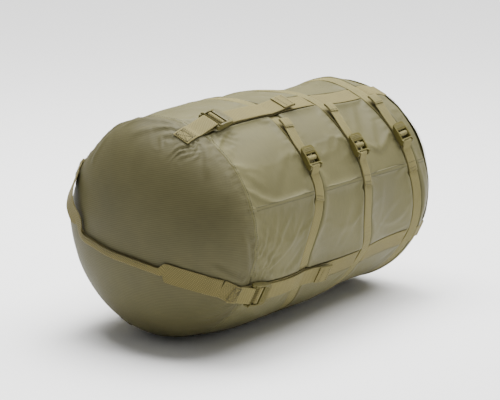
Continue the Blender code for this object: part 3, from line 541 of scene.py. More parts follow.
def resample(P, N, step):
    """Even steps along a polyline, smoothed by Catmull-Rom, normals carried along."""
    P, N = np.asarray(P, float), np.asarray(N, float)
    out_p, out_n = [], []
    n = len(P)
    for i in range(n - 1):
        p0 = P[i - 1] if i else 2 * P[0] - P[1]
        p3 = P[i + 2] if i + 2 < n else 2 * P[-1] - P[-2]
        p1, p2 = P[i], P[i + 1]
        cnt = max(1, int(math.ceil(np.linalg.norm(p2 - p1) / step)))
        for q in range(cnt):
            t = q / cnt
            out_p.append(0.5 * ((2 * p1) + (p2 - p0) * t + (2 * p0 - 5 * p1 + 4 * p2 - p3) * t * t
                                + (3 * p1 - p0 - 3 * p2 + p3) * t ** 3))
            out_n.append(N[i] * (1 - t) + N[i + 1] * t)
    out_p.append(P[-1])
    out_n.append(N[-1])
    return np.array(out_p), unit_rows(np.array(out_n))


def stitches(name, runs, mat, pitch=0.0034, length=0.0027, dia=0.00055):
    """Thread stitches along polylines.  A run is (points, normals) on the surface."""
    V, F = [], []
    for P, N in runs:
        P, N = np.asarray(P, float), unit_rows(N)
        L = np.concatenate([[0], np.cumsum(np.linalg.norm(np.diff(P, axis=0), axis=1))])
        if L[-1] < pitch * 0.6:
            continue
        cnt = max(1, int(round(L[-1] / pitch)))
        for q in range(cnt):
            c = (q + 0.5) * L[-1] / cnt
            a, b = max(0.0, c - length / 2), min(L[-1], c + length / 2)
            pts = [np.array([np.interp(s, L, P[:, i]) for i in range(3)]) for s in (a, c, b)]
            nn = unit_rows(np.array([np.interp(c, L, N[:, i]) for i in range(3)]))
            d = unit_rows(pts[2] - pts[0])
            sd = np.cross(d, nn)
            base = len(V)
            for s, r, up in ((0, 0.35, -0.35), (0.22, 0.9, 0.12), (0.5, 1.0, 0.30), (0.78, 0.9, 0.12), (1.0, 0.35, -0.35)):
                ctr = pts[0] * (1 - s) ** 2 + 2 * (1 - s) * s * (2 * pts[1] - (pts[0] + pts[2]) / 2) + pts[2] * s * s
                for g in range(6):
                    an = math.pi / 3 * g
                    V.append(ctr + (sd * math.cos(an) + nn * math.sin(an)) * dia / 2 * r + nn * up * dia)
            for s in range(4):
                for g in range(6):
                    h = (g + 1) % 6
                    F.append((base + s * 6 + g, base + s * 6 + h, base + s * 6 + 6 + h, base + s * 6 + 6 + g))
            F.append(tuple(base + g for g in range(6))[::-1])
            F.append(tuple(base + 24 + g for g in range(6)))
    ob = make(name, V, F, mat)
    return ob


# ------------------------------------------------------------------ fabric of base and sides
def column_angles():
    marks = []
    for c in STRAP_PHI.values():
        for q in (-H - 1.6, -H - 0.75, -H - 0.1, H + 0.1, H + 0.75, H + 1.6):
            marks.append((c + q) % 360.0)
    for c in SEAM_PHI:
        for q in (-1.55, -1.25, -0.85, 0.0, 0.85, 1.25, 1.55):
            marks.append((c + q) % 360.0)
    marks = sorted(marks)
    out = []
    for a, b in zip(marks, marks[1:] + [marks[0] + 360.0]):
        n = max(1, int(round((b - a) / 1.5)))
        out += [(a + (b - a) * i / n) for i in range(n)]
    k = next(i for i, a in enumerate(out) if abs(wrap(a - SEAM_PHI[0])) < 1e-6)
    out = out[k:] + [a + 360.0 for a in out[:k]]
    return np.array(out)


PHI = column_angles()                       # starts at the front side seam
NC = len(PHI)
SOFT = 0.0022


def strap_mask(phi, soft=0.62):
    m = np.zeros_like(np.asarray(phi, float))
    for c in STRAP_PHI.values():
        m = np.maximum(m, 1 - smooth(H + 0.12, H + 0.12 + soft, np.abs(wrap(phi - c))))
    return m


def belt_mask(x, phi, soft=SOFT):
    m = 0.0
    for k in range(3):
        half = route_half(k, phi, GIRTH_W + 0.0006)
        m = np.maximum(m, 1 - smooth(0.0, soft, np.abs(x - route(k, phi)) - half))
    return m


def sewn_mask(cx, cphi):
    """Places of the base that webbing is sewn down on: anchors and handle ends."""
    s = np.interp(cx + ARC_LEN, (ARC_LEN - ARC)[::-1], S_FINE[::-1])
    r = SEAM_R * np.sin(np.radians(s)) ** 0.9
    m = 0.0
    for key, c in STRAP_PHI.items():
        d = np.abs(np.radians(wrap(cphi - c))) * r
        inner = 62.0 if key in "bd" else 69.0
        m = np.maximum(m, (1 - smooth(0.0150, 0.0195, d)) * smooth(inner - 2.0, inner, s) * (cx < 0.004))
    return m


def edge_swell(x, phi):
    """Fabric stands up beside the webbing that presses it down."""
    s = 0.0
    for c in STRAP_PHI.values():
        d = (np.abs(wrap(phi - c)) - H - 0.1) * math.radians(1) * R
        s = np.maximum(s, np.exp(-((d - 0.0065) / 0.006) ** 2) * (d > 0) * smooth(0.012, 0.05, x))
    for k in range(3):
        d = np.abs(x - route(k, phi)) - route_half(k, phi, GIRTH_W)
        s = np.maximum(s, np.exp(-((d - 0.0065) / 0.006) ** 2) * (d > 0))
    return s


def wall_depth(x, phi):
    low = np.zeros_like(np.asarray(phi, float))
    dc = 1 - smooth(H + 0.5, H + 5.0, np.abs(wrap(phi - STRAP_PHI["c"])))
    low = low + LOCK_SINK["c"] * dc * smooth(0.0, 0.010, x) * (1 - smooth(0.045, 0.09, x))
    d = strap_mask(phi) * STACK_LONG * smooth(0.001, 0.006, x)
    d = d + belt_mask(x, phi) * STACK_GIRTH + 0.00025
    return d + low - 0.0009 * edge_swell(x, phi) * (1 - strap_mask(phi)) * (1 - belt_mask(x, phi))


def side_rows_x():
    z = np.zeros(NC)
    rows = [z + q for q in (0.0, 0.0012, 0.0032, 0.0058, 0.0076, 0.0090, 0.0112)]
    start = z + 0.0150
    counts = (27, 20, 23)
    for k in range(3):
        xk, hf = route(k, PHI), route_half(k, PHI, GIRTH_W + 0.0006)
        lo2, hi2 = xk - hf - SOFT, xk + hf + SOFT
        rows += [start + (lo2 - start) * i / counts[k] for i in range(counts[k])]
        rows += [lo2, xk - hf - SOFT * 0.4, xk - hf * 0.98, xk - hf * 0.5, xk, xk + hf * 0.5, xk + hf * 0.98,
                 xk + hf + SOFT * 0.4]
        start = hi2
    end = z + BODY_L
    rows += [start + (end - start) * i / 7 for i in range(7)] + [end]
    return np.array(rows)


SIDE_X = side_rows_x()                      # rows by columns
S_FINE = np.linspace(90.0, 0.0, 721)
pa, pr = dome_profile(S_FINE, 0.0, BASE_DEPTH, SEAM_R)
ARC = np.concatenate([[0], np.cumsum(np.hypot(np.diff(pa), np.diff(pr)))])
ARC_LEN = ARC[-1]
BASE_ARC = np.concatenate([[0.0, 0.0014, 0.0034, 0.0060], np.linspace(0.0095, ARC_LEN * 0.985, 46)])
BASE_S = np.interp(BASE_ARC, ARC, S_FINE)

# one grid: base rows from the pole to the seam, then the side rows
base_rows = np.array([base_skin(np.full(NC, s), PHI, 0.0) for s in BASE_S[::-1]])
side_x = SIDE_X[1:]
side_rows = np.array([side_skin(x, PHI, wall_depth(x, PHI)) for x in side_x])
GRID = np.concatenate([base_rows, side_rows])           # (rows, cols, 3)
NB, NR = len(base_rows), len(GRID)
CHART_X = np.concatenate([-BASE_ARC[::-1][:, None] * np.ones(NC), side_x])
CHART_P = np.broadcast_to(PHI, CHART_X.shape)


def grid_normals(G):
    du = np.roll(G, -1, 1) - np.roll(G, 1, 1)
    dv = np.gradient(G, axis=0)
    n = np.cross(du, dv)
    n = unit_rows(n)
    out = G - np.array([0.5 * BODY_L, 0, 0])
    flip = np.sign((n * out).sum(-1, keepdims=True))
    flip[flip == 0] = 1
    return n * flip


def chart_d(cx, cphi):
    return CHART_X - cx, R * np.radians(wrap(CHART_P - cphi))


def grid_faces(r0, r1):
    """Quads of the grid between two rows, as index arrays over rows times columns."""
    F = []
    for i in range(r0, r1):
        for j in range(NC):
            k = (j + 1) % NC
            F.append((i * NC + j, i * NC + k, (i + 1) * NC + k, (i + 1) * NC + j))
    return F


def simulate(G):
    """The sewn sack blown out against its straps: cloth cut a little larger than the shape that the
    webbing and the seams hold it to."""
    rows = list(range(6, NR))
    V = (G[rows].reshape(-1, 3) + OFF)
    F = [tuple(a - 6 * NC for a in f) for f in grid_faces(6, NR - 1)]
    me = bpy.data.meshes.new("sack_sim")
    me.from_pydata(V.tolist(), [], F)
    me.update()
    ob = bpy.data.objects.new("sack_sim", me)
    scene.collection.objects.link(ob)
    cx, cp = CHART_X[rows].ravel(), CHART_P[rows].ravel()
    held = np.maximum(strap_mask(cp, 1.2) * smooth(0.004, 0.014, cx), belt_mask(cx, cp, 0.0035))
    held = np.maximum(held, 0.75 * (1 - smooth(0.0, 0.006, np.abs(cx))))
    held = np.maximum(held, sewn_mask(cx, cp))
    held = np.maximum(held, smooth(BODY_L - 0.010, BODY_L - 0.001, cx))
    held = np.maximum(held, 1 - smooth(-ARC_LEN + 0.03, -ARC_LEN + 0.09, cx))
    # the base is taut: it is held softly everywhere but near the seam
    held = np.maximum(held, 0.80 * (1 - smooth(-0.030, -0.004, cx)))
    for c in SEAM_PHI:
        held = np.maximum(held, 0.45 * (1 - smooth(0.6, 1.6, np.abs(wrap(cp - c)))) * (cx > 0))
    pin = ob.vertex_groups.new(name="pin")
    shrink = ob.vertex_groups.new(name="shrink")
    for i, h in enumerate(held):
        if h > 0.01:
            pin.add([i], float(h), "REPLACE")
    loose = smooth(-0.010, 0.006, cx) * (1.0 - 0.35 * noise2(cx / 0.07, cp / 22.0, 5))
    for i, q in enumerate(np.clip(loose, 0, 1)):
        if q > 0.01:
            shrink.add([i], float(q), "REPLACE")
    m = ob.modifiers.new("cloth", "CLOTH")
    s = m.settings
    s.quality = 5
    s.mass = 0.12
    s.air_damping = 3.0
    s.tension_stiffness = 22.0
    s.compression_stiffness = 22.0
    s.shear_stiffness = 9.0
    s.bending_stiffness = 0.9
    s.tension_damping = s.compression_damping = s.shear_damping = 6.0
    s.bending_damping = 0.6
    s.use_pressure = True
    s.uniform_pressure_force = 3.2
    s.vertex_group_mass = "pin"
    s.pin_stiffness = 1.0
    s.vertex_group_shrink = "shrink"
    s.shrink_min = 0.0
    s.shrink_max = -0.016
    s.effector_weights.gravity = 0.15
    m.collision_settings.use_collision = False
    m.collision_settings.use_self_collision = False
    scene.frame_start, scene.frame_end = 1, 30
    for f in range(1, SIM_FRAMES + 1):
        scene.frame_set(f)
    dg = bpy.context.evaluated_depsgraph_get()
    got = ob.evaluated_get(dg).data
    co = np.zeros(len(got.vertices) * 3)
    got.vertices.foreach_get("co", co)
    scene.frame_set(1)
    bpy.data.objects.remove(ob, do_unlink=True)
    out = G.copy()
    moved = co.reshape(len(rows), NC, 3) - OFF - G[rows]
    size = np.linalg.norm(moved, axis=-1, keepdims=True)
    cap = 0.0048
    moved = moved * (cap * np.tanh(size / cap) / np.maximum(size, 1e-9))
    out[rows] += moved
    return out


SIM_FRAMES = 16
G = GRID.copy()
G = simulate(G)


# ------------------------------------------------------------------ folds that the stitching draws into the cloth
def pucker(cx, cphi, reach, count, amp, phase, inner=0.008, lo=-180.0, hi=180.0, sharp=1.6):
    """Folds that fan out from one sewn spot; lo and hi bound the fan, from the +X direction."""
    dx, dy = chart_d(cx, cphi)
    rho = np.hypot(dx, dy)
    th = np.degrees(np.arctan2(dy, dx))
    wob = (30.0 * noise2(rho / 0.035, th / 50.0, int(abs(cx) * 1e4) % 97)
           + 14.0 * noise2(rho / 0.012, th / 22.0, int(abs(cphi)) % 89))
    a = np.radians((th + wob)) * count / 2.0 + phase
    ridge = 1.0 - 2.0 * np.abs(np.sin(a)) ** sharp
    mid, half = (lo + hi) / 2, (hi - lo) / 2
    fan = 1 - smooth(half * 0.72, half, np.abs((th - mid + 180) % 360 - 180)) if half < 179 else 1.0
    fade = smooth(0.0, inner, rho) * (1 - smooth(reach * 0.25, reach, rho)) ** 1.4
    vary = 0.45 + 0.55 * noise2(th / 26.0, rho / 0.04, 11 + int(abs(cphi)) % 13)
    return amp * ridge * fan * fade * vary


def crease(x0, p0, x1, p1, width, amp, sharp=1.0, seed=3, bend=0.0):
    """One long soft fold between two places of the chart."""
    ax, ay = CHART_X - x0, R * np.radians(wrap(CHART_P - p0))
    bx, by = x1 - x0, R * math.radians(float(wrap(p1 - p0)))
    L2 = bx * bx + by * by
    L = math.sqrt(L2)
    t = (ax * bx + ay * by) / L2
    off = (ax * by - ay * bx) / L - bend * np.sin(math.pi * np.clip(t, 0, 1))
    off = off + 0.12 * width * noise2(t * 6.0, t * 0.0, seed)
    ends = smooth(-0.02, 0.18, t) * (1 - smooth(0.72, 1.04, t))
    q = off / width
    return amp * ends * (np.exp(-np.abs(q) ** (2.0 / sharp)) - 0.45 * np.exp(-((q - 1.3) / 0.9) ** 2))


def rim_ripple():
    """Short gathers along both sides of the base seam."""
    s = R * np.radians(CHART_P)
    n = noise2(s / 0.011, CHART_X / 0.03, 21) + 0.8 * noise2(s / 0.0055, CHART_X / 0.02, 22)
    fade = np.exp(-np.abs(CHART_X) / np.where(CHART_X < 0, 0.011, 0.013)) * smooth(0.0, 0.004, np.abs(CHART_X))
    return 0.0013 * n * fade


def free_of_webbing():
    return ((1 - sewn_mask(CHART_X, CHART_P)) * (1 - strap_mask(CHART_P, 2.0) * smooth(0.0, 0.012, CHART_X))
            * (1 - belt_mask(CHART_X, CHART_P, 0.006)))


dh = np.zeros(CHART_X.shape)
# puckers round the four sewn anchors, on the base and on the sides
dh += pucker(-0.006, 68.5, 0.088, 15, 0.0026, 0.4, lo=95, hi=265)
dh += pucker(-0.004, -27.0, 0.060, 17, 0.0026, 1.1, lo=95, hi=265)
dh += pucker(-0.004, -113.0, 0.055, 15, 0.0022, 0.2, lo=95, hi=265)
dh += pucker(-0.006, 153.0, 0.075, 15, 0.0024, 0.9, lo=95, hi=265)
dh += pucker(0.014, 68.5 + 7, 0.060, 16, 0.0016, 0.1, lo=-75, hi=100)
dh += pucker(0.014, 68.5 - 7, 0.060, 16, 0.0016, 2.1, lo=-100, hi=75)
dh += pucker(0.004, -27.0 + 7, 0.105, 22, 0.0023, 0.7, lo=-10, hi=110)
dh += pucker(0.004, -27.0 - 7, 0.085, 20, 0.0021, 1.9, lo=-110, hi=10)
dh += pucker(0.012, -113.0 + 8, 0.070, 18, 0.0016, 0.3, lo=-10, hi=110)
dh += pucker(0.012, 153.0 + 7, 0.070, 18, 0.0018, 0.5, lo=-75, hi=100)
dh += pucker(0.012, 153.0 - 7, 0.070, 18, 0.0018, 1.5, lo=-100, hi=75)
dh += rim_ripple()
# long folds on the base, from the top anchor towards the rim at the back
dh += crease(-0.012, 74, -0.030, 112, 0.0060, 0.0030, seed=4, bend=0.006)
dh += crease(-0.020, 72, -0.055, 100, 0.0075, 0.0024, seed=5, bend=0.004)
dh += crease(-0.004, 86, -0.022, 140, 0.0050, 0.0024, seed=6)
dh += crease(-0.010, 60, -0.048, 40, 0.0055, 0.0016, seed=7)
dh += crease(-0.030, 120, -0.075, 135, 0.0080, 0.0016, seed=8)
# and by the lower front anchor, above the handle and beside the rim
dh += crease(-0.006, -20, -0.070, -10, 0.0065, 0.0026, seed=9, bend=-0.003)
dh += crease(-0.006, -19, -0.024, 8, 0.0060, 0.0026, seed=10)
dh += crease(-0.008, -34, -0.050, -52, 0.0065, 0.0020, seed=11)
dh += crease(-0.010, 40, -0.040, 22, 0.0070, 0.0012, seed=12)
# fans of folds on the front, between the lower strap, the rim and the side seam
for i, (x0, p0, x1, p1, w, a) in enumerate((
        (0.020, -19, 0.115, 9, 0.0028, 0.0016), (0.018, -17, 0.085, 12, 0.0030, 0.0018),
        (0.014, -16, 0.055, 14, 0.0030, 0.0017), (0.010, -15, 0.030, 10, 0.0032, 0.0019),
        (0.060, -20, 0.128, 4, 0.0034, 0.0013), (0.010, 15.5, 0.060, -4, 0.0026, 0.0012),
        (0.006, 44, 0.050, 24, 0.0048, 0.0014), (0.050, 20, 0.130, 44, 0.0060, 0.0012),
        (0.180, 30, 0.250, 47, 0.0055, 0.0011), (0.190, -17, 0.240, 10, 0.0042, 0.0012),
        (0.205, -18, 0.262, 8, 0.0036, 0.0010), (0.300, -16, 0.385, 2, 0.0044, 0.0013),
        (0.305, 40, 0.360, 62, 0.0065, 0.0016), (0.330, 28, 0.390, 55, 0.0060, 0.0013),
        (0.310, -10, 0.330, 14, 0.0045, 0.0011), (0.030, 100, 0.120, 80, 0.0070, 0.0017),
        (0.180, 100, 0.235, 76, 0.0060, 0.0015), (0.300, 84, 0.390, 110, 0.0070, 0.0016),
        (0.030, 128, 0.120, 110, 0.0065, 0.0014), (0.190, 142, 0.240, 112, 0.0060, 0.0014),
        (0.030, 168, 0.110, 190, 0.0050, 0.0014), (0.180, 170, 0.240, 192, 0.0052, 0.0013),
        (0.310, 165, 0.380, 190, 0.0055, 0.0014), (0.030, 230, 0.110, 206, 0.0050, 0.0013),
        (0.180, 236, 0.240, 208, 0.0055, 0.0012), (0.030, -42, 0.120, -60, 0.0042, 0.0015),
        (0.020, -36, 0.080, -50, 0.0040, 0.0015), (0.190, -40, 0.250, -66, 0.0048, 0.0012),
        (0.310, -38, 0.380, -60, 0.0050, 0.0012))):
    soft = 0.66 if i < 6 else (0.42 if p1 < 30 else 0.62)
    dh += crease(x0, p0, x1, p1, w * 1.4, a * soft, seed=30 + i, bend=0.003 * (-1) ** i)
# broad unevenness of what is packed inside
sx, sy = CHART_X, R * np.radians(CHART_P)
lump = np.cos(np.radians(CHART_P)), np.sin(np.radians(CHART_P))
dh += (0.0016 * noise2(lump[0] * 2.6 + CHART_X / 0.10, lump[1] * 2.6, 41)
       + 0.0007 * noise2(lump[0] * 6.0, lump[1] * 6.0 + CHART_X / 0.045, 42)) * smooth(-ARC_LEN + 0.02, -0.02, CHART_X)
dh *= free_of_webbing()
# the lower side lies on the ground
under = G[..., 2] + FLOOR
dh = np.where(under < 0.010, dh * smooth(0.0, 0.010, under), dh)
# sewn ridges: felled side seams and the turned edge along the base seam
ridge = np.zeros(CHART_X.shape)
for c in SEAM_PHI:
    ridge = np.maximum(ridge, (1 - smooth(1.0, 1.3, np.abs(wrap(CHART_P - c)))) * (CHART_X > 0.001))
rim = smooth(0.0002, 0.0014, CHART_X) * (1 - smooth(0.0050, 0.0068, CHART_X))
ridge = np.maximum(ridge * smooth(0.0, 0.004, CHART_X), rim)
ripple = 0.65 + 0.35 * noise2(CHART_X / 0.008, CHART_P * 0.8, 51)
# small pinched spots: beside the bartacked girth webbing and where the anchors cross the seam
for k, p, side, deep in ((0, 13.0, -1, 0.0022), (1, 12.4, -1, 0.0030), (2, 12.4, -1, 0.0028), (1, 11.2, 1, 0.0012)):
    dx, dy = chart_d(route(k, p) + side * (route_half(k, p, GIRTH_W) + 0.0020), p)
    dh -= deep * np.exp(-(dx / 0.0024) ** 2 - (dy / 0.0040) ** 2)
for c, x, deep in ((-27.0, 0.004, 0.0040), (68.5, 0.010, 0.0022), (153.0, 0.010, 0.0026), (-113.0, 0.006, 0.0022)):
    for q in (-1, 1):
        dx, dy = chart_d(x, c + q * (H + 3.2))
        dh -= deep * np.exp(-((dx - 0.12 * dy) / 0.0026) ** 2 - (dy / 0.0075) ** 2)
dh += 0.00045 * ridge * ripple * (1 - 0.6 * belt_mask(CHART_X, CHART_P, 0.002))
N0 = grid_normals(G)
G = G + N0 * dh[..., None]
# a narrow valley where the base panel meets the sides
valley = np.exp(-(CHART_X / 0.0011) ** 2)
# and the edge itself, pulled in and let out between the stitches
sr = R * np.radians(CHART_P)
edge_wave = (0.0009 * noise2(sr / 0.016, sr * 0, 23) + 0.0006 * noise2(sr / 0.0065, sr * 0, 24)) \
    * np.exp(-(CHART_X / 0.006) ** 2) * (1 - sewn_mask(CHART_X, CHART_P))
G = G - N0 * (0.0010 * valley)[..., None]
G[..., 0] += edge_wave
# a stitch line draws a fine groove along each side seam
for c in SEAM_PHI:
    for off in (-0.78, 0.78):
        G = G - N0 * (0.00035 * np.exp(-(wrap(CHART_P - c - off) / 0.16) ** 2) * (CHART_X > 0.010))[..., None]
G[..., 2] = np.maximum(G[..., 2], -FLOOR + 0.0002)


def finer(M, axis, cyclic):
    """Twice as many grid lines, on a smooth curve through the old ones."""
    M = np.moveaxis(M, axis, 0)
    if cyclic:
        mids = (9 * (M + np.roll(M, -1, 0)) - np.roll(M, 1, 0) - np.roll(M, -2, 0)) / 16.0
        out = np.empty((2 * len(M),) + M.shape[1:])
        out[0::2], out[1::2] = M, mids
    else:
        E = np.concatenate([2 * M[:1] - M[1:2], M, 2 * M[-1:] - M[-2:-1]])
        mids = (9 * (E[1:-2] + E[2:-1]) - E[:-3] - E[3:]) / 16.0
        out = np.empty((2 * len(M) - 1,) + M.shape[1:])
        out[0::2], out[1::2] = M, mids
    return np.moveaxis(out, 0, axis)


# the base panel and the sides meet in a fold, so each side of it is made finer on its own
low, high = finer(G[:NB], 0, False), finer(G[NB - 1:], 0, False)
cl, ch = finer(CHART_X[:NB], 0, False), finer(CHART_X[NB - 1:], 0, False)
G = np.concatenate([low, high[1:]])
CHART_X = np.concatenate([cl, ch[1:]])
NB = len(low)
G = finer(G, 1, True)
CHART_X = finer(CHART_X, 1, True)
nxt = np.concatenate([PHI[1:], [PHI[0] + 360.0]])
PHI = np.stack([PHI, (PHI + nxt) / 2], 1).ravel()
NR, NC = CHART_X.shape
CHART_P = np.broadcast_to(PHI, CHART_X.shape)
GN = grid_normals(G)


def on_wall(x, phi, lift=0.0):
    """Points and normals on the finished cloth at chart places (x negative is on the base)."""
    x, phi = np.broadcast_arrays(np.asarray(x, float), np.asarray(phi, float))
    P, N = [], []
    for a, b in zip(x.ravel(), phi.ravel()):
        f = (b - PHI[0]) % 360.0
        j = int(np.searchsorted(PHI - PHI[0], f, side="right") - 1)
        j2 = (j + 1) % NC
        width = (PHI[j2] - PHI[j]) if j2 else (PHI[0] + 360.0 - PHI[j])
        u = (f - (PHI[j] - PHI[0])) / width
        col = CHART_X[:, j] * (1 - u) + CHART_X[:, j2] * u
        i = int(np.clip(np.searchsorted(col, a, side="right") - 1, 0, NR - 2))
        t = float(np.clip((a - col[i]) / (col[i + 1] - col[i]), 0, 1))

        def at(M):
            return ((M[i, j] * (1 - u) + M[i, j2] * u) * (1 - t) + (M[i + 1, j] * (1 - u) + M[i + 1, j2] * u) * t)
        P.append(at(G))
        N.append(at(GN))
    P, N = np.array(P), unit_rows(np.array(N))
    return P + N * np.reshape(lift, (-1, 1)), N


def cloth_piece(name, r0, r1, c0, c1, mat, uv_of, pole=None):
    """Part of the grid as its own object."""
    cols = [(c % NC) for c in range(c0, c1 + 1)] if c1 - c0 < NC else list(range(NC)) + [0]
    full = c1 - c0 >= NC
    used = cols[:-1] if full else cols
    V = G[r0:r1 + 1][:, used].reshape(-1, 3)
    n = len(used)
    F, UV = [], []
    for i in range(r1 - r0):
        for j in range(len(cols) - 1):
            k = (j + 1) % n if full else j + 1
            F.append((i * n + j, i * n + k, (i + 1) * n + k, (i + 1) * n + j))
            pj = PHI[cols[j]] + (360.0 if (c0 + j) >= NC else 0.0)
            pk = PHI[cols[j + 1] if j + 1 < len(cols) else 0] + (360.0 if (c0 + j + 1) >= NC else 0.0)
            UV += [uv_of(r0 + i, cols[j], pj), uv_of(r0 + i, cols[j + 1], pk),
                   uv_of(r0 + i + 1, cols[j + 1], pk), uv_of(r0 + i + 1, cols[j], pj)]
    if pole is not None:
        V = np.concatenate([V, pole[None]])
        for j in range(n):
            k = (j + 1) % n
            F.append((k, j, len(V) - 1))
            UV += [uv_of(r0, cols[k], PHI[cols[k]]), uv_of(r0, cols[j], PHI[cols[j]]), (0.0, 0.0)]
    ob = make(name, V, F, mat, UV)
    bm = bmesh.new()
    bm.from_mesh(ob.data)
    bmesh.ops.recalc_face_normals(bm, faces=bm.faces)
    mid = bm.faces[len(bm.faces) // 2]
    c = mid.calc_center_median()
    axis = Vector((c.x, OFF[1], OFF[2])) if name != "base_fabric" else Vector((0.5 * BODY_L + OFF[0], OFF[1], OFF[2]))
    if mid.normal.dot(c - axis) < 0:
        bmesh.ops.reverse_faces(bm, faces=bm.faces)
    bm.to_mesh(ob.data)
    bm.free()
    return ob


def side_uv(i, j, p):
    return (R * math.radians(p), CHART_X[i, j])


def base_uv(i, j, p):
    r = CHART_X[i, j] + ARC_LEN
    return (-r * math.cos(math.radians(p)), r * math.sin(math.radians(p)))


J197 = next(i for i, a in enumerate(PHI) if abs(wrap(a - SEAM_PHI[1])) < 1e-6)
pole_pt = base_skin(np.array([0.0]), np.array([0.0]), 0.0)[0]
pole_pt = G[0].mean(0) * np.array([0, 1, 1]) + np.array([min(pole_pt[0], G[0][:, 0].mean()), 0, 0])
base_fabric = cloth_piece("base_fabric", 0, NB - 1, 0, NC, M_BASE_PAINTED_SHADE, base_uv, pole=pole_pt)
side_upper = cloth_piece("side_fabric_upper", NB - 1, NR - 1, 0, J197, M_SIDE, side_uv)
side_lower = cloth_piece("side_fabric_lower", NB - 1, NR - 1, J197, NC, M_SIDE, side_uv)
for ob, node in ((base_fabric, "base_panel"), (side_upper, "side_panel_upper"), (side_lower, "side_panel_lower")):
    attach(ob, "sack")
    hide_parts(node)


# ------------------------------------------------------------------ drawn-in mouth and compression lid
def dome_grid(skin, s_list, cols, depth_of):
    rows = []
    for s in s_list:
        rows.append(skin(np.full(len(cols), s), cols, depth_of(s, cols)))
    return np.array(rows)


def closed_cloth(name, outer, thick, mat, uv_fn, pole):
    """A thin closed sheet from a grid of outer points, rows by cyclic columns."""
    rows, n = outer.shape[0], outer.shape[1]
    du = np.roll(outer, -1, 1) - np.roll(outer, 1, 1)
    dv = np.gradient(outer, axis=0)
    N = unit_rows(np.cross(du, dv))
    flip = np.sign(N[..., 0].mean())
    inner = outer - N * flip * thick
    V = np.concatenate([outer.reshape(-1, 3), inner.reshape(-1, 3)])
    half = rows * n
    F, UV = [], []
    for layer in (0, 1):
        for i in range(rows - 1):
            for j in range(n):
                k = (j + 1) % n
                q = [(i, j), (i, k), (i + 1, k), (i + 1, j)]
                if layer:
                    q = q[::-1]
                F.append(tuple(layer * half + a * n + b for a, b in q))
                UV += [uv_fn(a, b) for a, b in q]
    rims = [0] if pole else [0, rows - 1]
    for i in rims:
        for j in range(n):
            k = (j + 1) % n
            q = [(0, i, j), (1, i, j), (1, i, k), (0, i, k)]
            F.append(tuple(a * half + b * n + c for a, b, c in q))
            UV += [uv_fn(b, c) for a, b, c in q]
    if pole:
        for layer in (0, 1):
            c = (outer if layer == 0 else inner)[rows - 1].mean(0)
            V = np.concatenate([V, c[None]])
            for j in range(n):
                k = (j + 1) % n
                F.append((layer * half + (rows - 1) * n + j, layer * half + (rows - 1) * n + k, len(V) - 1))
                UV += [uv_fn(rows - 1, j), uv_fn(rows - 1, k), (0.0, 0.0)]
    ob = make(name, V, F, mat, UV, smooth_angle=80)
    fix_normals(ob)
    return ob


S_MOUTH = math.degrees(math.asin((MOUTH_R / SHOULDER_R) ** (1 / 0.9)))
CP = np.arange(240) * 1.5
PLEATS = 34
CPC = np.arange(PLEATS * 12) * (360.0 / (PLEATS * 12))
STRIP = 1.01                         # cut length of the collar strip, metres


def pleat(s, phi, amp, count, seed):
    """Gathers of a drawn-in edge: many at the mouth."""
    a = np.radians(phi)
    wob = 0.35 * noise2(np.cos(a) * 3.0, np.sin(a) * 3.0 + s / 30.0, seed)
    ph = count * a / 1.0 + 2 * math.pi * wob
    big = np.abs(np.sin(ph / 2)) ** 0.7
    return amp * (big - 0.55)


def collar_depth_v(s, phi):
    """The strip keeps its cut length all the way in: what the ring has no room for stands in pleats."""
    a = np.radians(phi)
    r = SHOULDER_R * np.sin(np.radians(s)) ** 0.9
    deep = 0.5 * np.sqrt(np.maximum((STRIP / PLEATS) ** 2 - (2 * math.pi * r / PLEATS) ** 2, 0.0))
    wob = 0.12 * noise2(np.cos(a) * 3.0, np.sin(a) * 3.0 + s / 60.0, 61)
    wave = np.abs(np.sin(PLEATS * a / 2 + math.pi * wob))
    base = 0.0058 * smooth(0.0, 8.0, 90.0 - s) + strap_mask(phi) * STACK_LONG * (s > 86.0)
    return base + deep * (1 - wave) * smooth(0.0, 8.0, 90.0 - s)


S_COL = np.concatenate([[90.0, 89.0, 87.0, 85.0], np.linspace(82.0, S_MOUTH, 34)])
col_grid = dome_grid(far_skin, S_COL, CPC, collar_depth_v)
# the drawstring tunnel: a rolled edge round the mouth, gathered with the cloth
edge = col_grid[-1]
mid = edge.mean(0)
rows = [edge]
for turn, out_r, up in ((1, 0.0016, 0.0022), (2, 0.0044, 0.0026), (3, 0.0060, 0.0002), (4, 0.0046, -0.0022)):
    d = unit_rows(edge - mid)
    rows.append(edge + d * (out_r - 0.0020) * 0.6 + np.array([up, 0, 0]) * (0.8 + 0.25 * pleat(0.0, CPC, 1.0, PLEATS, 61)[:, None]))
mouth_collar = closed_cloth("gathered_collar", np.concatenate([col_grid, np.array(rows[1:])]), 0.0006, M_SIDE,
                            lambda i, j: (R * math.radians(CPC[j]), 0.0045 * i), False)
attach(mouth_collar, "sack")
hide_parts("mouth_collar")

LID_DROP = 0.0022
LID_SKIN = LID_DROP - 0.0015 + 0.0008


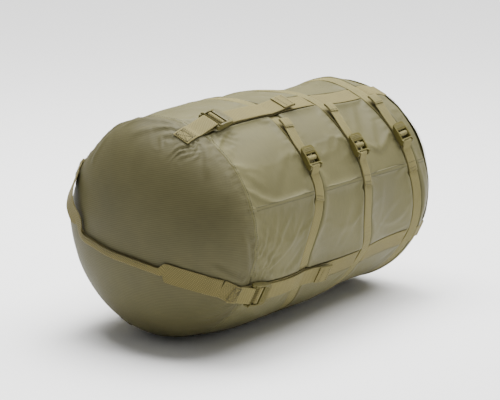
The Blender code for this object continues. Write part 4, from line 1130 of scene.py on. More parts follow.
def lid_depth(s, phi):
    a = np.radians(phi)
    strap = 0.0
    for c in STRAP_PHI.values():
        d = np.radians(wrap(phi - c)) * R * 0.918 * np.sin(np.radians(s))
        on = (1 - smooth(0.0152, 0.0175, np.abs(d))) * (np.cos(np.radians(wrap(phi - c))) > 0)
        strap = np.maximum(strap, on * smooth(40.0, 46.0, s))
    # soft unevenness, and folds that fan out from the four sewn strap ends
    fold = 0.0016 * (0.7 + noise2(np.cos(a) * 2.2 * s / 45.0, np.sin(a) * 2.2 * s / 45.0, 71))
    px, py = np.sin(np.radians(s)) * np.cos(a), np.sin(np.radians(s)) * np.sin(a)
    for n, c in enumerate(STRAP_PHI.values()):
        qx, qy = px - 0.72 * math.cos(math.radians(c)), py - 0.72 * math.sin(math.radians(c))
        rho, th = np.hypot(qx, qy), np.degrees(np.arctan2(qy, qx))
        rays = 1.0 - 2.0 * np.abs(np.sin(np.radians(th + 24.0 * noise2(rho / 0.16, th / 40.0, 74 + n)) * 6.5 + n)) ** 1.5
        fold = fold + 0.0011 * rays * smooth(0.04, 0.12, rho) * (1 - smooth(0.14, 0.48, rho)) \
            * (0.6 + 0.4 * noise2(th / 30.0, rho / 0.2, 79 + n))
    gathers = 0.0013 * noise2(np.cos(a) * 9.0, np.sin(a) * 9.0 + s / 22.0, 72) * smooth(50.0, 76.0, s) * (1 - smooth(76.5, 78.5, s))
    return LID_SKIN + 0.0003 - (fold + gathers) * (1 - strap) * smooth(5.0, 25.0, s) - 0.0006 * (1 - strap) \
        * smooth(30.0, 60.0, s)


S_LID = np.concatenate([[79.0, 78.2, 77.0, 75.6, 74.6], np.linspace(72.0, 1.5, 42)])
lid_grid = dome_grid(far_skin, S_LID, CP, lid_depth)
lid_fabric = closed_cloth("lid_fabric", lid_grid, 0.0006, M_SIDE,
                          lambda i, j: (-(90 - 0) * 0.0017 * math.sin(math.radians(S_LID[i])) * math.cos(math.radians(CP[j])),
                                        90 * 0.0017 * math.sin(math.radians(S_LID[i])) * math.sin(math.radians(CP[j]))), True)
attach(lid_fabric, "lid")
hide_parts("lid_panel")

# bound edge of the lid: a folded tape round the rim
tape_p, tape_n = [], []
for a in np.linspace(0, 360, 181):
    tape_p.append(far_skin(np.array([78.6]), np.array([a]), lid_depth(np.array([78.6]), np.array([a])) - 0.0001)[0])
    tape_n.append(far_normal(np.array([78.6]), np.array([a]))[0])


def closed_band(name, P, N, width, thick, mat, seed=1):
    P, N = np.array(P[:-1]), unit_rows(np.array(N[:-1]))
    n = len(P)
    T = unit_rows(np.roll(P, -1, 0) - np.roll(P, 1, 0))
    S = unit_rows(np.cross(T, N))
    sec = section(width, thick)
    m = len(sec)
    L = np.concatenate([[0], np.cumsum(np.linalg.norm(np.diff(np.concatenate([P, P[:1]]), axis=0), axis=1))])
    V, F, UV = [], [], []
    for i in range(n):
        pk = 0.00015 * noise2(np.array([L[i] / 0.006]), np.array([0.0]), seed)[0]
        V.append(P[i] + np.outer(sec[:, 0] * width / 2, S[i]) + np.outer(sec[:, 1] * thick / 2 + pk, N[i]))
    V = np.concatenate(V)
    for i in range(n):
        i2 = (i + 1) % n
        for j in range(m):
            k = (j + 1) % m
            F.append((i * m + j, i * m + k, i2 * m + k, i2 * m + j))
            UV += [(sec[j, 0] * width / 2, L[i]), (sec[k, 0] * width / 2, L[i]),
                   (sec[k, 0] * width / 2, L[i + 1]), (sec[j, 0] * width / 2, L[i + 1])]
    ob = make(name, V, F, mat, UV, smooth_angle=55)
    fix_normals(ob)
    return ob


lid_tape = closed_band("lid_binding", tape_p, tape_n, 0.0085, 0.0014, M_SIDE, 81)
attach(lid_tape, "lid")


# ------------------------------------------------------------------ seats of the ladder locks, as the frame has them
def span(a, b, n):
    return [a + (b - a) * i / n for i in range(n)]


A_, B_, C_, D_ = (STRAP_PHI[k] for k in "abcd")
UPPER = ([SEAM_PHI[0]] + span(SEAM_PHI[0], A_ - H, 5)[1:] + span(A_ - H, A_ + H, 1)
         + span(A_ + H, D_ - H, 8) + span(D_ - H, D_ + H, 1) + span(D_ + H, SEAM_PHI[1], 4)
         + [SEAM_PHI[1]])
LOWER = ([SEAM_PHI[1]] + span(SEAM_PHI[1], C_ + 360 - H, 5)[1:] + span(C_ + 360 - H, C_ + 360 + H, 1)
         + span(C_ + 360 + H, B_ + 360 - H, 8) + span(B_ + 360 - H, B_ + 360 + H, 1)
         + span(B_ + 360 + H, SEAM_PHI[0] + 360, 4) + [SEAM_PHI[0] + 360])
COLUMNS = sorted(c if c <= 180.0 else c - 360.0 for c in UPPER[:-1] + LOWER[:-1])


def strap_at(phi):
    for key, c in STRAP_PHI.items():
        if abs((phi - c + 180.0) % 360.0 - 180.0) < H + 0.05:
            return key
    return None


def vec(a):
    return Vector([float(q) for q in a])


def unit(v):
    return v / v.length


class Seat:
    """Local frame of a ladder lock: s towards its tab, t across, n away from the sack."""

    def __init__(self, origin, s, n):
        self.o = origin
        self.s = unit(s)
        self.n = unit(n - self.s * n.dot(self.s))
        self.t = self.n.cross(self.s)

    def at(self, s, t, n):
        return self.o + self.s * s + self.t * t + self.n * n

    def p(self, s, t, n):
        return np.array(self.at(s, t, n)[:])


seats = {}
for key, phi in STRAP_PHI.items():
    xb, sink = LOCK_X[key], LOCK_SINK[key]
    p0, p1, pm = (vec(side_skin(xb + q, phi, sink)) for q in (0.0, 0.028, 0.014))
    a = math.radians(phi)
    seat = Seat(p0, p1 - p0, Vector((0.0, -math.cos(a), math.sin(a) / OVAL)))
    seat.o = p0 + seat.n * (max(0.0, (pm - p0).dot(seat.n)) + 0.0003)
    seats[key] = seat


def girth_edge(k, side, phi, extra=0.0):
    """Point on one edge of girth strap k; side -1 or +1; extra is height over the wall."""
    cols = [COLUMNS[-1] - 360.0] + COLUMNS + [COLUMNS[0] + 360.0]
    a = (phi + 540.0) % 360.0 - 180.0
    for c0, c1 in zip(cols[:-1], cols[1:]):
        if c0 - 1e-9 <= a <= c1 + 1e-9:
            break

    def at(c):
        strap = strap_at(c)
        long_d = STACK_LONG if strap else 0.0
        low = LOCK_SINK[strap] if strap and k == 0 else 0.0
        over = long_d if k > 0 else 0.0
        x = route(k, c) + side * route_half(k, c, GIRTH_W)
        return vec(side_skin(x, c, long_d + low + STACK_GIRTH - over - GAP - extra))
    t = (a - c0) / (c1 - c0)
    return at(c0).lerp(at(c1), t)


for k in range(3):
    def top(phi):
        return (girth_edge(k, -1, phi, GIRTH_T) + girth_edge(k, 1, phi, GIRTH_T)) / 2
    p0, pm, p1 = top(GIRTH_BAR_PHI), top(GIRTH_BAR_PHI + 4.6), top(GIRTH_BAR_PHI + 9.2)
    a = math.radians(GIRTH_BAR_PHI + 4.6)
    seat = Seat(p0, top(GIRTH_BAR_PHI + 6.0) - top(GIRTH_BAR_PHI - 6.0), Vector((0.0, -math.cos(a), math.sin(a) / OVAL)))
    n = seat.t.cross(p1 - p0) * -1.0
    seat.n = unit(n if n.dot(seat.n) > 0 else -n)
    seat.s = unit(seat.s - seat.n * seat.s.dot(seat.n))
    seat.t = seat.n.cross(seat.s)
    swell = max(0.0, (pm - p0).dot(seat.n), (top(35.516) - p0).dot(seat.n))
    seat.o = p0 + seat.n * (swell + 0.0006)
    seats["girth_%d" % (k + 1)] = seat


# ------------------------------------------------------------------ ladder locks
def prism(bm, outline, t0, t1):
    a = [bm.verts.new((s, t0, n)) for s, n in outline]
    b = [bm.verts.new((s, t1, n)) for s, n in outline]
    m = len(outline)
    for i in range(m):
        j = (i + 1) % m
        bm.faces.new((a[i], a[j], b[j], b[i]))
    bm.faces.new(a[::-1])
    bm.faces.new(b)


def ring(cs, cn, r, n):
    return [(cs + r * math.cos(2 * math.pi * i / n), cn + r * math.sin(2 * math.pi * i / n)) for i in range(n)]


def lock_mesh(width, name):
    """Moulded ladder lock: rails, two round bars, a ribbed thumb tab, all edges rounded."""
    half_in = width / 2 + 0.0013
    half_out = half_in + 0.0034
    rb = LOCK_BAR_H - 0.0006
    arc = [(-rb * math.sin(q), LOCK_BAR_H - rb * math.cos(q)) for q in np.radians(np.arange(0, 151, 15))]
    rail = ([(0.0255, 0.0030), (0.0180, 0.0010), (0.0080, 0.0006)] + arc
            + [(0.0040, 0.0090), (0.0080, 0.0095), (0.0120, 0.0097), (0.0200, 0.0096), (0.0262, 0.0088)])
    bm = bmesh.new()
    for sgn in (-1, 1):
        t0, t1 = sorted((sgn * half_in, sgn * half_out))
        prism(bm, rail, t0, t1)
    prism(bm, ring(0, LOCK_BAR_H, LOCK_BAR_R, 20), -half_in - 0.001, half_in + 0.001)
    prism(bm, ring(LOCK_MID_S, LOCK_MID_H, 0.0019, 20), -half_in - 0.001, half_in + 0.001)
    # a lip over the anchor bar; it stops short, so that tipping the lock 38 degrees keeps it off the webbing
    r1 = LOCK_BAR_R + 0.00045 + (LONG_T if width > 0.025 else GIRTH_T) + 0.00025
    r2 = r1 + 0.0020
    lip = [(r2 * math.cos(q), LOCK_BAR_H + r2 * math.sin(q)) for q in np.radians(np.arange(12, 57, 11))]
    lip += [(r1 * math.cos(q), LOCK_BAR_H + r1 * math.sin(q)) for q in np.radians(np.arange(56, 11, -11))]
    prism(bm, lip, -half_in - 0.001, half_in + 0.001)
    ear = [(0.0, LOCK_BAR_H)] + [(r2 * math.cos(q), LOCK_BAR_H + r2 * math.sin(q)) for q in np.radians(np.arange(0, 97, 12))]
    for sgn in (-1, 1):
        t0, t1 = sorted((sgn * half_in, sgn * half_out))
        prism(bm, ear, t0, t1)
    outline = [(0.0205, half_in + 0.001), (0.0262, half_in + 0.001), (0.0263, half_out)]
    for q in np.linspace(0.0, 1.0, 9)[1:]:
        an = q * math.pi / 2
        outline.append((0.0263 + (LOCK_LEN - 0.0263) * math.sin(an) ** 0.9,
                        half_out * (0.50 + 0.50 * math.cos(an) ** 0.8)))
    lo, hi = [], []
    for s, w in outline:
        b = float(np.interp(s, [0.0205, 0.0245, 0.0290, 0.0335], [0.0040, 0.0041, 0.0052, 0.0068]))
        t = float(np.interp(s, [0.0205, 0.0245, 0.0290, 0.0335], [0.0086, 0.0088, 0.0086, 0.0086]))
        lo.append((bm.verts.new((s, -w, b)), bm.verts.new((s, w, b))))
        hi.append((bm.verts.new((s, -w, t)), bm.verts.new((s, w, t))))
    for i in range(len(lo) - 1):
        bm.faces.new((lo[i][0], lo[i][1], lo[i + 1][1], lo[i + 1][0]))
        bm.faces.new((hi[i][0], hi[i + 1][0], hi[i + 1][1], hi[i][1]))
        bm.faces.new((lo[i][0], lo[i + 1][0], hi[i + 1][0], hi[i][0]))
        bm.faces.new((lo[i][1], hi[i][1], hi[i + 1][1], lo[i + 1][1]))
    bm.faces.new((lo[0][0], hi[0][0], hi[0][1], lo[0][1]))
    bm.faces.new((lo[-1][0], lo[-1][1], hi[-1][1], hi[-1][0]))
    # grip ribs on the tab
    for s in (0.0245, 0.0268, 0.0291):
        w = half_out * (0.72 if s < 0.028 else 0.60)
        prism(bm, [(s - 0.0006, 0.0082), (s + 0.0006, 0.0082), (s + 0.0004, 0.0093), (s - 0.0004, 0.0093)], -w, w)
    bmesh.ops.recalc_face_normals(bm, faces=bm.faces)
    me = bpy.data.meshes.new(name)
    bm.to_mesh(me)
    bm.free()
    ob = bpy.data.objects.new(name, me)
    scene.collection.objects.link(ob)
    rm = ob.modifiers.new("fuse", "REMESH")
    rm.mode = "VOXEL"
    rm.voxel_size = 0.00036
    rm.adaptivity = 0.0
    sm = ob.modifiers.new("soft", "SMOOTH")
    sm.factor, sm.iterations = 0.5, 5
    dc = ob.modifiers.new("lean", "DECIMATE")
    dc.ratio = 0.30
    dg = bpy.context.evaluated_depsgraph_get()
    out = bpy.data.meshes.new_from_object(ob.evaluated_get(dg))
    bpy.data.objects.remove(ob, do_unlink=True)
    out.name = name
    out.shade_smooth()
    out.materials.clear()
    out.materials.append(M_PLASTIC)
    return out


LOCKS = {"long": lock_mesh(LONG_W, "ladder_lock_30"), "girth": lock_mesh(GIRTH_W, "ladder_lock_20")}


def place_lock(name, kind, seat, body, node):
    ob = bpy.data.objects.new(name, LOCKS[kind])
    scene.collection.objects.link(ob)
    m = Matrix((seat.s, seat.t, seat.n)).transposed().to_4x4()
    m.translation = seat.o + Vector(OFF.tolist())
    ob.matrix_world = m
    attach(ob, body)
    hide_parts(node)
    return ob


for key in "abcd":
    place_lock("ladder_lock_" + key, "long", seats[key], "buckle_" + key, "lock_" + key)
for k in range(3):
    place_lock("girth_ladder_lock_%d" % (k + 1), "girth", seats["girth_%d" % (k + 1)], "girth_buckle_%d" % (k + 1),
               "girth_lock_%d" % (k + 1))


# ------------------------------------------------------------------ webbing
def arc_pts(cs, cn, r, a0, a1, n):
    q = np.radians(np.linspace(a0, a1, n + 1))
    return np.stack([cs + r * np.cos(q), cn + r * np.sin(q)], 1)


def loop_web(name, seat, w, th, node):
    """Webbing up through the lock, over its middle bar and down again."""
    r = 0.0019 + 0.00045 + th / 2
    sn = np.concatenate([[(LOCK_MID_S - r, 0.0018), (LOCK_MID_S - r, 0.0036)],
                         arc_pts(LOCK_MID_S, LOCK_MID_H, r, 180, 0, 14),
                         [(LOCK_MID_S + r, 0.0036), (LOCK_MID_S + r, 0.0018)]])
    P = np.array([seat.p(s, 0.0, n) for s, n in sn])
    d = np.gradient(sn, axis=0)
    N = np.array([seat.p(-b, 0, a) - seat.p(0, 0, 0) for a, b in d])
    ob = webbing(name, P, N, w, th, M_WEB if w > 0.025 else M_GIRTH, seed=91)
    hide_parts(node)
    s0, s1 = seat.p(LOCK_MID_S, 0, 0.0016) + OFF, seat.p(LOCK_MID_S, 0, 0.0050) + OFF
    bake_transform(ob)
    return ob


def long_depth(key, x):
    """Depth of a long strap's middle below the envelope."""
    phi = STRAP_PHI[key]
    d = LONG_T / 2 + 0.0 * x
    for k in (1, 2):
        half = route_half(k, phi, GIRTH_W)
        d = d + STACK_GIRTH * (1 - smooth(half - 0.0005, half + 0.006, np.abs(x - route(k, phi))))
    sink = LOCK_SINK[key] * (1 - smooth(0.055, 0.11, x))
    return d + sink


# stitching collected for one thread object per body
SACK_RUNS, LID_RUNS, HANDLE_RUNS, SEAM_RUNS = [], [], [], []


def face_run(P, N, T, S, a, b, lift):
    """Runs in a patch's own plane: a along, b across, from its middle."""
    return P + T * a + S * b + N * lift


def box_x(P, N, T, half_l, half_w, lift, runs):
    """Box with a cross, the usual tack of a load-bearing webbing end."""
    P, N, T = np.asarray(P, float), unit_rows(N), unit_rows(T)
    S = np.cross(N, T)
    c = [face_run(P, N, T, S, a * half_l, b * half_w, lift) for a, b in ((-1, -1), (1, -1), (1, 1), (-1, 1))]
    for a, b in ((0, 1), (1, 2), (2, 3), (3, 0), (0, 2), (1, 3)):
        runs.append((np.array([c[a], (c[a] + c[b]) / 2, c[b]]), np.array([N, N, N])))


for key in "abcd":
    phi, seat, xb = STRAP_PHI[key], seats[key], LOCK_X[key]
    loop_web("lock_webbing_" + key, seat, LONG_W, LONG_T, "lock_loop_" + key)
    # strap from under the lock, along the body, over the shoulder on to the lid, and sewn there
    xs = np.concatenate([np.linspace(xb + 0.0078, BODY_L - 0.004, 130)])
    P = side_skin(xs, phi, long_depth(key, xs))
    a = math.radians(phi)
    nrm = np.array([0.0, -math.cos(a), math.sin(a) / OVAL])
    N = np.tile(nrm, (len(xs), 1))
    ss = np.array([88.0, 84.0, 80.5, 78.0, 74.0, 68.0, 60.0, 52.0, 44.0])
    lid_lift = np.array([LONG_T / 2, LONG_T / 2 - 0.0001, 0.0, -0.0005, -0.0006, -0.0006, -0.0006, -0.0006, -0.0006])
    LP, LN = [], []
    for s, q in zip(ss, lid_lift):
        dep = q if s > 79 else LID_SKIN - GAP - LONG_T / 2 + (0.0 if s > 76 else 0.0) - (0.0022 if s > 74.5 else 0.0)
        LP.append(far_skin(np.array([s]), np.array([phi]), dep)[0])
        LN.append(far_normal(np.array([s]), np.array([phi]))[0])
    P = np.concatenate([P, np.array(LP)])
    N = np.concatenate([N, np.array(LN)])
    P, N = resample(P, N, 0.0033)
    ob = webbing("long_web_" + key, P, N, LONG_W, LONG_T, M_WEB, seed=100 + ord(key))
    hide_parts("long_strap_" + key, "lid_strap_" + key)
    tuple(side_skin(BODY_L - 0.036, phi, 0.0) * np.array([1, 0, 0]) + OFF)
    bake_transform(ob)
    Pc = far_skin(np.array([51.0]), np.array([phi]), LID_SKIN - GAP - LONG_T)[0]
    Nc = far_normal(np.array([51.0]), np.array([phi]))[0]
    Tc = far_skin(np.array([46.0]), np.array([phi]), 0.0)[0] - far_skin(np.array([56.0]), np.array([phi]), 0.0)[0]
    box_x(Pc, Nc, Tc, 0.0085, 0.0115, 0.0001, LID_RUNS)
    Pc = far_skin(np.array([74.0]), np.array([phi]), LID_SKIN - GAP - LONG_T)[0]
    Nc = far_normal(np.array([74.0]), np.array([phi]))[0]
    Sc = np.cross(Nc, unit_rows(Tc))
    for q in (-0.0016, 0.0016):
        LID_RUNS.append((np.array([Pc + unit_rows(Tc) * q - Sc * 0.013, Pc + unit_rows(Tc) * q,
                                   Pc + unit_rows(Tc) * q + Sc * 0.013]) + Nc * 0.0001, np.array([Nc] * 3)))


def tail_strip(name, P, N, w, th, mat, hem, lift_dir, seed):
    """Free end of a strap: a strip with its end folded back on top and sewn."""
    P, N = resample(P, N, 0.0030)
    ob = webbing(name, P, N, w, th, mat, seed=seed)
    L = np.concatenate([[0], np.cumsum(np.linalg.norm(np.diff(P, axis=0), axis=1))])
    T = unit_rows(np.gradient(P, axis=0))
    keep = L > L[-1] - hem
    HP = P[keep] + N[keep] * (th + 0.00025)
    # the fold itself: half a turn round the end
    end, n, t = P[-1], N[-1], T[-1]
    rr = (th + 0.00025) / 2
    turn = [end + n * rr + t * rr * math.sin(a) - n * rr * math.cos(a) for a in np.radians((0, 30, 60, 90, 120, 150, 180))]
    FP = np.concatenate([np.array(turn), HP[::-1][1:]])
    FN = np.concatenate([[n * math.cos(a) - t * math.sin(a) for a in np.radians((0, 30, 60, 90, 120, 150, 180))],
                         -N[keep][::-1][1:]])
    fold = webbing(name + "_hem", FP, FN, w * 0.995, th, mat, v0=float(L[-1]), seed=seed + 1)
    return [ob, fold], HP, N[keep], T[keep]


# tails of the long straps lie on their straps, ends folded and sewn
TAIL_END = {"a": 1.19 * R, "b": 1.05 * R, "c": 1.10 * R, "d": 1.12 * R}
for key in "abcd":
    phi, xb = STRAP_PHI[key], LOCK_X[key]
    x1 = TAIL_END[key]
    xs = np.linspace(xb + 0.0205, x1, 44)
    t = (xs - xs[0]) / (xs[-1] - xs[0])
    lift = 0.0006 + 0.0042 * smooth(0.55, 1.0, t) + 0.0009 * np.sin(t * 9.0 + ord(key)) * smooth(0.15, 0.5, t) * (1 - smooth(0.8, 1, t))
    dep = long_depth(key, xs) - STACK_LONG - lift
    tw = math.degrees(0.0012 / R) * np.sin(t * 4.0 + ord(key))
    P = side_skin(xs, phi + tw, dep)
    a = math.radians(phi)
    N = np.tile(np.array([0.0, -math.cos(a), math.sin(a) / OVAL]), (len(xs), 1))
    if key == "c":
        # pressed flat between the sack and the ground, folded end included
        P[:, 2] = np.maximum(P[:, 2], -FLOOR + 0.0013 + 0.0022 * smooth(xs[-1] - 0.034, xs[-1] - 0.026, xs))
        N = np.tile(np.array([0.0, 0.0, -1.0]), (len(xs), 1))
    obs, HP, HN, HT = tail_strip("strap_tail_" + key, P, N, LONG_W, LONG_T, M_WEB, 0.026, None, 200 + ord(key))
    tail = join("strap_tail_" + key, obs)
    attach(tail, "sack")
    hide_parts("long_tail_" + key)
    S = np.cross(HT, HN)
    for at in (4, len(HP) - 3):
        c = HP[min(max(at, 0), len(HP) - 1)] + HN[0] * (LONG_T / 2 + 0.00012)
        s = S[0]
        SACK_RUNS.append((np.array([c - s * 0.0128, c, c + s * 0.0128]), np.array([HN[0]] * 3)))


def arc_at(s):
    return np.interp(s, S_FINE[::-1], ARC[::-1])


def on_base(s, phi, lift):
    P, N = on_wall(-arc_at(np.asarray(s, float)), phi, lift)
    return P, N


ANCHOR_IN = {"a": 69.5, "b": 72.5, "c": 76.5, "d": 72.5}


def anchor_thick(d):
    """Sewing presses the two layers flat away from the lock."""
    return LONG_T - 0.0008 * smooth(0.012, 0.034, d)


def anchor_path(key):
    """Anchor webbing: flat on the base, over the seam, round the lock's bar and back on itself."""
    phi, seat = STRAP_PHI[key], seats[key]
    r = LOCK_BAR_R + 0.00045 + LONG_T / 2
    s_rim = 87.0 if key != "b" else 83.5
    ss = np.linspace(ANCHOR_IN[key], s_rim, 5)
    th = anchor_thick(arc_at(ss) + LOCK_X[key])
    low, LN = on_base(ss, np.full(5, phi), 0.00012 + th / 2)
    high, _ = on_base(ss, np.full(5, phi), 0.00022 + th * 1.5)
    P, N = list(low), list(LN)
    ringp = np.concatenate([[(-0.003, LOCK_BAR_H - r)], arc_pts(0, LOCK_BAR_H, r, -90, 100, 12)])
    d = np.gradient(ringp, axis=0)
    for (s, n), (a, b) in zip(ringp, d):
        P.append(seat.p(s, 0, n))
        N.append(seat.p(-b, 0, a) - seat.p(0, 0, 0))
    P += list(high[::-1])
    N += list(-LN[::-1])
    return np.array(P), np.array(N)


for key in "abcd":
    phi = STRAP_PHI[key]
    P, N = anchor_path(key)
    N = unit_rows(N)
    side = base_skin(np.array([86.0]), np.array([phi + H]), 0)[0] - base_skin(np.array([86.0]), np.array([phi - H]), 0)[0]
    P, N = resample(P, N, 0.0016)
    th = anchor_thick(np.linalg.norm(P - np.array(seats[key].o[:]), axis=1))
    ob = webbing("anchor_web_" + key, P, N, LONG_W, th, M_WEB, seed=300 + ord(key), side=np.tile(side, (len(P), 1)))
    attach(ob, "sack")
    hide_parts("strap_anchor_" + key)
    sd = unit_rows(side)
    if key in "ac":
        mid_s = ANCHOR_IN[key] + 4.3
        c3, n3 = on_base(np.array([mid_s - 0.6, mid_s, mid_s + 0.6]), np.full(3, phi), 0.00036 + (LONG_T - 0.0008) * 2)
        box_x(c3[1], n3[1], c3[2] - c3[0], 0.0062, 0.0118, 0.0, SACK_RUNS)
    for s in ((78.5, 80.0) if key == "a" else () if key == "c" else (79.0, 80.5)):
        c, n = on_base(np.array([s]), np.array([phi]), 0.00036 + 2 * anchor_thick(arc_at(s) + LOCK_X[key]))
        SACK_RUNS.append((np.array([c[0] - sd * 0.0130, c[0], c[0] + sd * 0.0130]), np.array([n[0]] * 3)))

# girth straps
MM = math.degrees(0.001 / R)


def girth_mid(k, phi, height):
    """Middle of girth webbing at a height over the wall, smooth over the long straps."""
    phi = np.asarray(phi, float)
    d = np.full_like(phi, STACK_GIRTH - GAP)
    if k == 0:
        d = d + STACK_LONG * (1 - smooth(H + 0.1, H + 3.0, np.min([np.abs(wrap(phi - c)) for c in STRAP_PHI.values()], axis=0)))
    low = LOCK_SINK["c"] * (1 - smooth(H + 0.5, H + 5.0, np.abs(wrap(phi - STRAP_PHI["c"])))) if k == 0 else 0.0
    return side_skin(route(k, phi), phi, d + low - height)


def girth_normal(k, phi):
    a = np.radians(phi)
    n = np.stack([np.zeros_like(a), -np.cos(a), np.sin(a) / OVAL], -1)
    x = route(k, phi)
    slope = (env(x + 0.004, phi) - env(x - 0.004, phi)) / 0.008
    n[:, 0] -= 0.6 * np.clip(slope, -0.15, 0.15)
    return unit_rows(n)


for k in range(3):
    seat = seats["girth_%d" % (k + 1)]
    body = "girth_buckle_%d" % (k + 1)
    loop_web("girth_lock_webbing_%d" % (k + 1), seat, GIRTH_W, GIRTH_T, "girth_loop_%d" % (k + 1))
    start, stop = GIRTH_BAR_PHI + 7.8 * MM, GIRTH_BAR_PHI - 6.0 * MM
    phis = np.linspace(start, stop + 360.0, 330)
    P = girth_mid(k, phis, GIRTH_T / 2)
    P[:, 2] = np.maximum(P[:, 2], -FLOOR + 0.0006)
    N = girth_normal(k, phis)
    r = LOCK_BAR_R + 0.00045 + GIRTH_T / 2
    ringp = np.concatenate([[(-0.0022, LOCK_BAR_H - r)], arc_pts(0, LOCK_BAR_H, r, -90, 100, 12)])
    d = np.gradient(ringp, axis=0)
    RP = np.array([seat.p(s, 0, n) for s, n in ringp])
    RN = np.array([seat.p(-b, 0, a) - seat.p(0, 0, 0) for a, b in d])
    back = np.linspace(stop - 1.0, GIRTH_STITCH_PHI, 16)
    BP = girth_mid(k, back, STACK_GIRTH + GIRTH_T / 2)
    BN = -girth_normal(k, back)
    P, N = np.concatenate([P, RP, BP]), np.concatenate([N, RN, BN])
    T = unit_rows(np.gradient(P, axis=0))
    side = np.cross(T, unit_rows(N))
    tdir = np.array(seat.t[:])
    side = np.where((side @ tdir)[:, None] * 0 + 1 > 0, side, -side)
    # one steady across-direction through the turn round the bar
    m = len(phis)
    side[m:m + len(RP)] = unit_rows(side[m - 1])
    sgn = np.sign((side[m + len(RP):] * side[m - 1]).sum(1))[:, None]
    side[m + len(RP):] *= sgn
    ob = webbing("girth_web_%d" % (k + 1), P, N, GIRTH_W, GIRTH_T, M_GIRTH, seed=400 + k, side=side, wave=0.00035)
    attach(ob, "sack")
    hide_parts("girth_strap_%d" % (k + 1))
    # stitching of the folded anchor end
    for q in (GIRTH_STITCH_PHI + 0.7, GIRTH_STITCH_PHI + 2.2) + ((GIRTH_STITCH_PHI + 5.4,) if k else ()):
        pp = girth_mid(k, np.array([q]), STACK_GIRTH + GIRTH_T + 0.00012)[0]
        nn = girth_normal(k, np.array([q]))[0]
        tt = unit_rows(girth_mid(k, np.array([q + 1.0]), 0)[0] - girth_mid(k, np.array([q - 1.0]), 0)[0])
        sd = np.cross(tt, nn)
        SACK_RUNS.append((np.array([pp - sd * 0.0084, pp, pp + sd * 0.0084]), np.array([nn] * 3)))
    # tail, standing off the strap towards its folded end
    t0, t1 = GIRTH_BAR_PHI + 22.5 * MM, GIRTH_TAIL_PHI[k]
    q = np.linspace(t0, t1, 34)
    t = (q - t0) / (t1 - t0)
    lift = 0.0004 + (0.0046, 0.0056, 0.0060)[k] * smooth(0.25, 1.0, t)
    P = girth_mid(k, q, STACK_GIRTH + GIRTH_T / 2 + lift)
    P[:, 0] += np.array((0.0022, 0.0016, 0.0020))[k] * smooth(0.3, 1.0, t)
    obs, HP, HN, HT = tail_strip("girth_tail_web_%d" % (k + 1), P, girth_normal(k, q), GIRTH_W, GIRTH_T, M_GIRTH, 0.018, None, 500 + k)
    tail = join("girth_tail_web_%d" % (k + 1), obs)
    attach(tail, "sack")
    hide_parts("girth_tail_%d" % (k + 1))
    S = np.cross(HT, HN)
    c = HP[1] + HN[1] * (GIRTH_T / 2 + 0.00012)
    SACK_RUNS.append((np.array([c - S[1] * 0.0085, c, c + S[1] * 0.0085]), np.array([HN[1]] * 3)))

# ------------------------------------------------------------------ carry handle
HANDLE_ON = ((63.5, -24.0), (55.0, -24.0), (42.0, -25.0), (29.0, -29.0), (18.0, -38.0),
             (9.0, -72.0), (11.0, -138.0), (20.0, -164.0), (29.0, -172.0))
HANDLE_FREE = ((-.462, .566, .020), (-.460, .640, .110), (-.438, .695, .195),
               (-.375, .738, .275), (-.300, .765, .340))
HANDLE_LIFT = 0.0018
GRIP_W, GRIP_T = 0.0155, 0.0040
CUTS = (0.0, 1.35, 3.9, 8.15, 12.2, 14.0)
knots = [vec(base_skin(np.array([s]), np.array([p]), -HANDLE_LIFT)[0]) for s, p in HANDLE_ON]
norms = [vec(base_normal(np.array([s]), np.array([p]))[0]) for s, p in HANDLE_ON]
end_d = vec(base_skin(np.array([63.5]), np.array([D_]), -HANDLE_LIFT)[0])
n_d = vec(base_normal(np.array([63.5]), np.array([D_]))[0])
for i, q in enumerate(HANDLE_FREE):
    knots.append(Vector(q) * R)
    w = (i + 1.0) / (len(HANDLE_FREE) + 1.0)
    norms.append(unit(norms[8] * (1 - w) + n_d * w))
knots.append(end_d)
norms.append(n_d)


def handle_at(u):
    i = min(int(u), len(knots) - 2)

    def spl(t):
        p1, p2 = knots[i], knots[i + 1]
        p0 = knots[i - 1] if i > 0 else p1 * 2 - p2
        p3 = knots[i + 2] if i + 2 < len(knots) else p2 * 2 - p1
        return 0.5 * ((2 * p1) + (p2 - p0) * t + (2 * p0 - 5 * p1 + 4 * p2 - p3) * t * t
                      + (3 * p1 - p0 - 3 * p2 + p3) * t ** 3)
    t = u - i
    c = spl(t)
    d = unit(spl(min(t + 0.02, 1.0)) - spl(max(t - 0.02, 0.0)))
    n = norms[i].lerp(norms[i + 1], t)
    n = unit(n - d * n.dot(d))
    return np.array(c[:]), np.array(d[:]), np.array(n[:])


def handle_run(u0, u1, count):
    us = np.linspace(u0, u1, count)
    got = [handle_at(float(u)) for u in us]
    return us, np.array([g[0] for g in got]), np.array([g[1] for g in got]), np.array([g[2] for g in got])


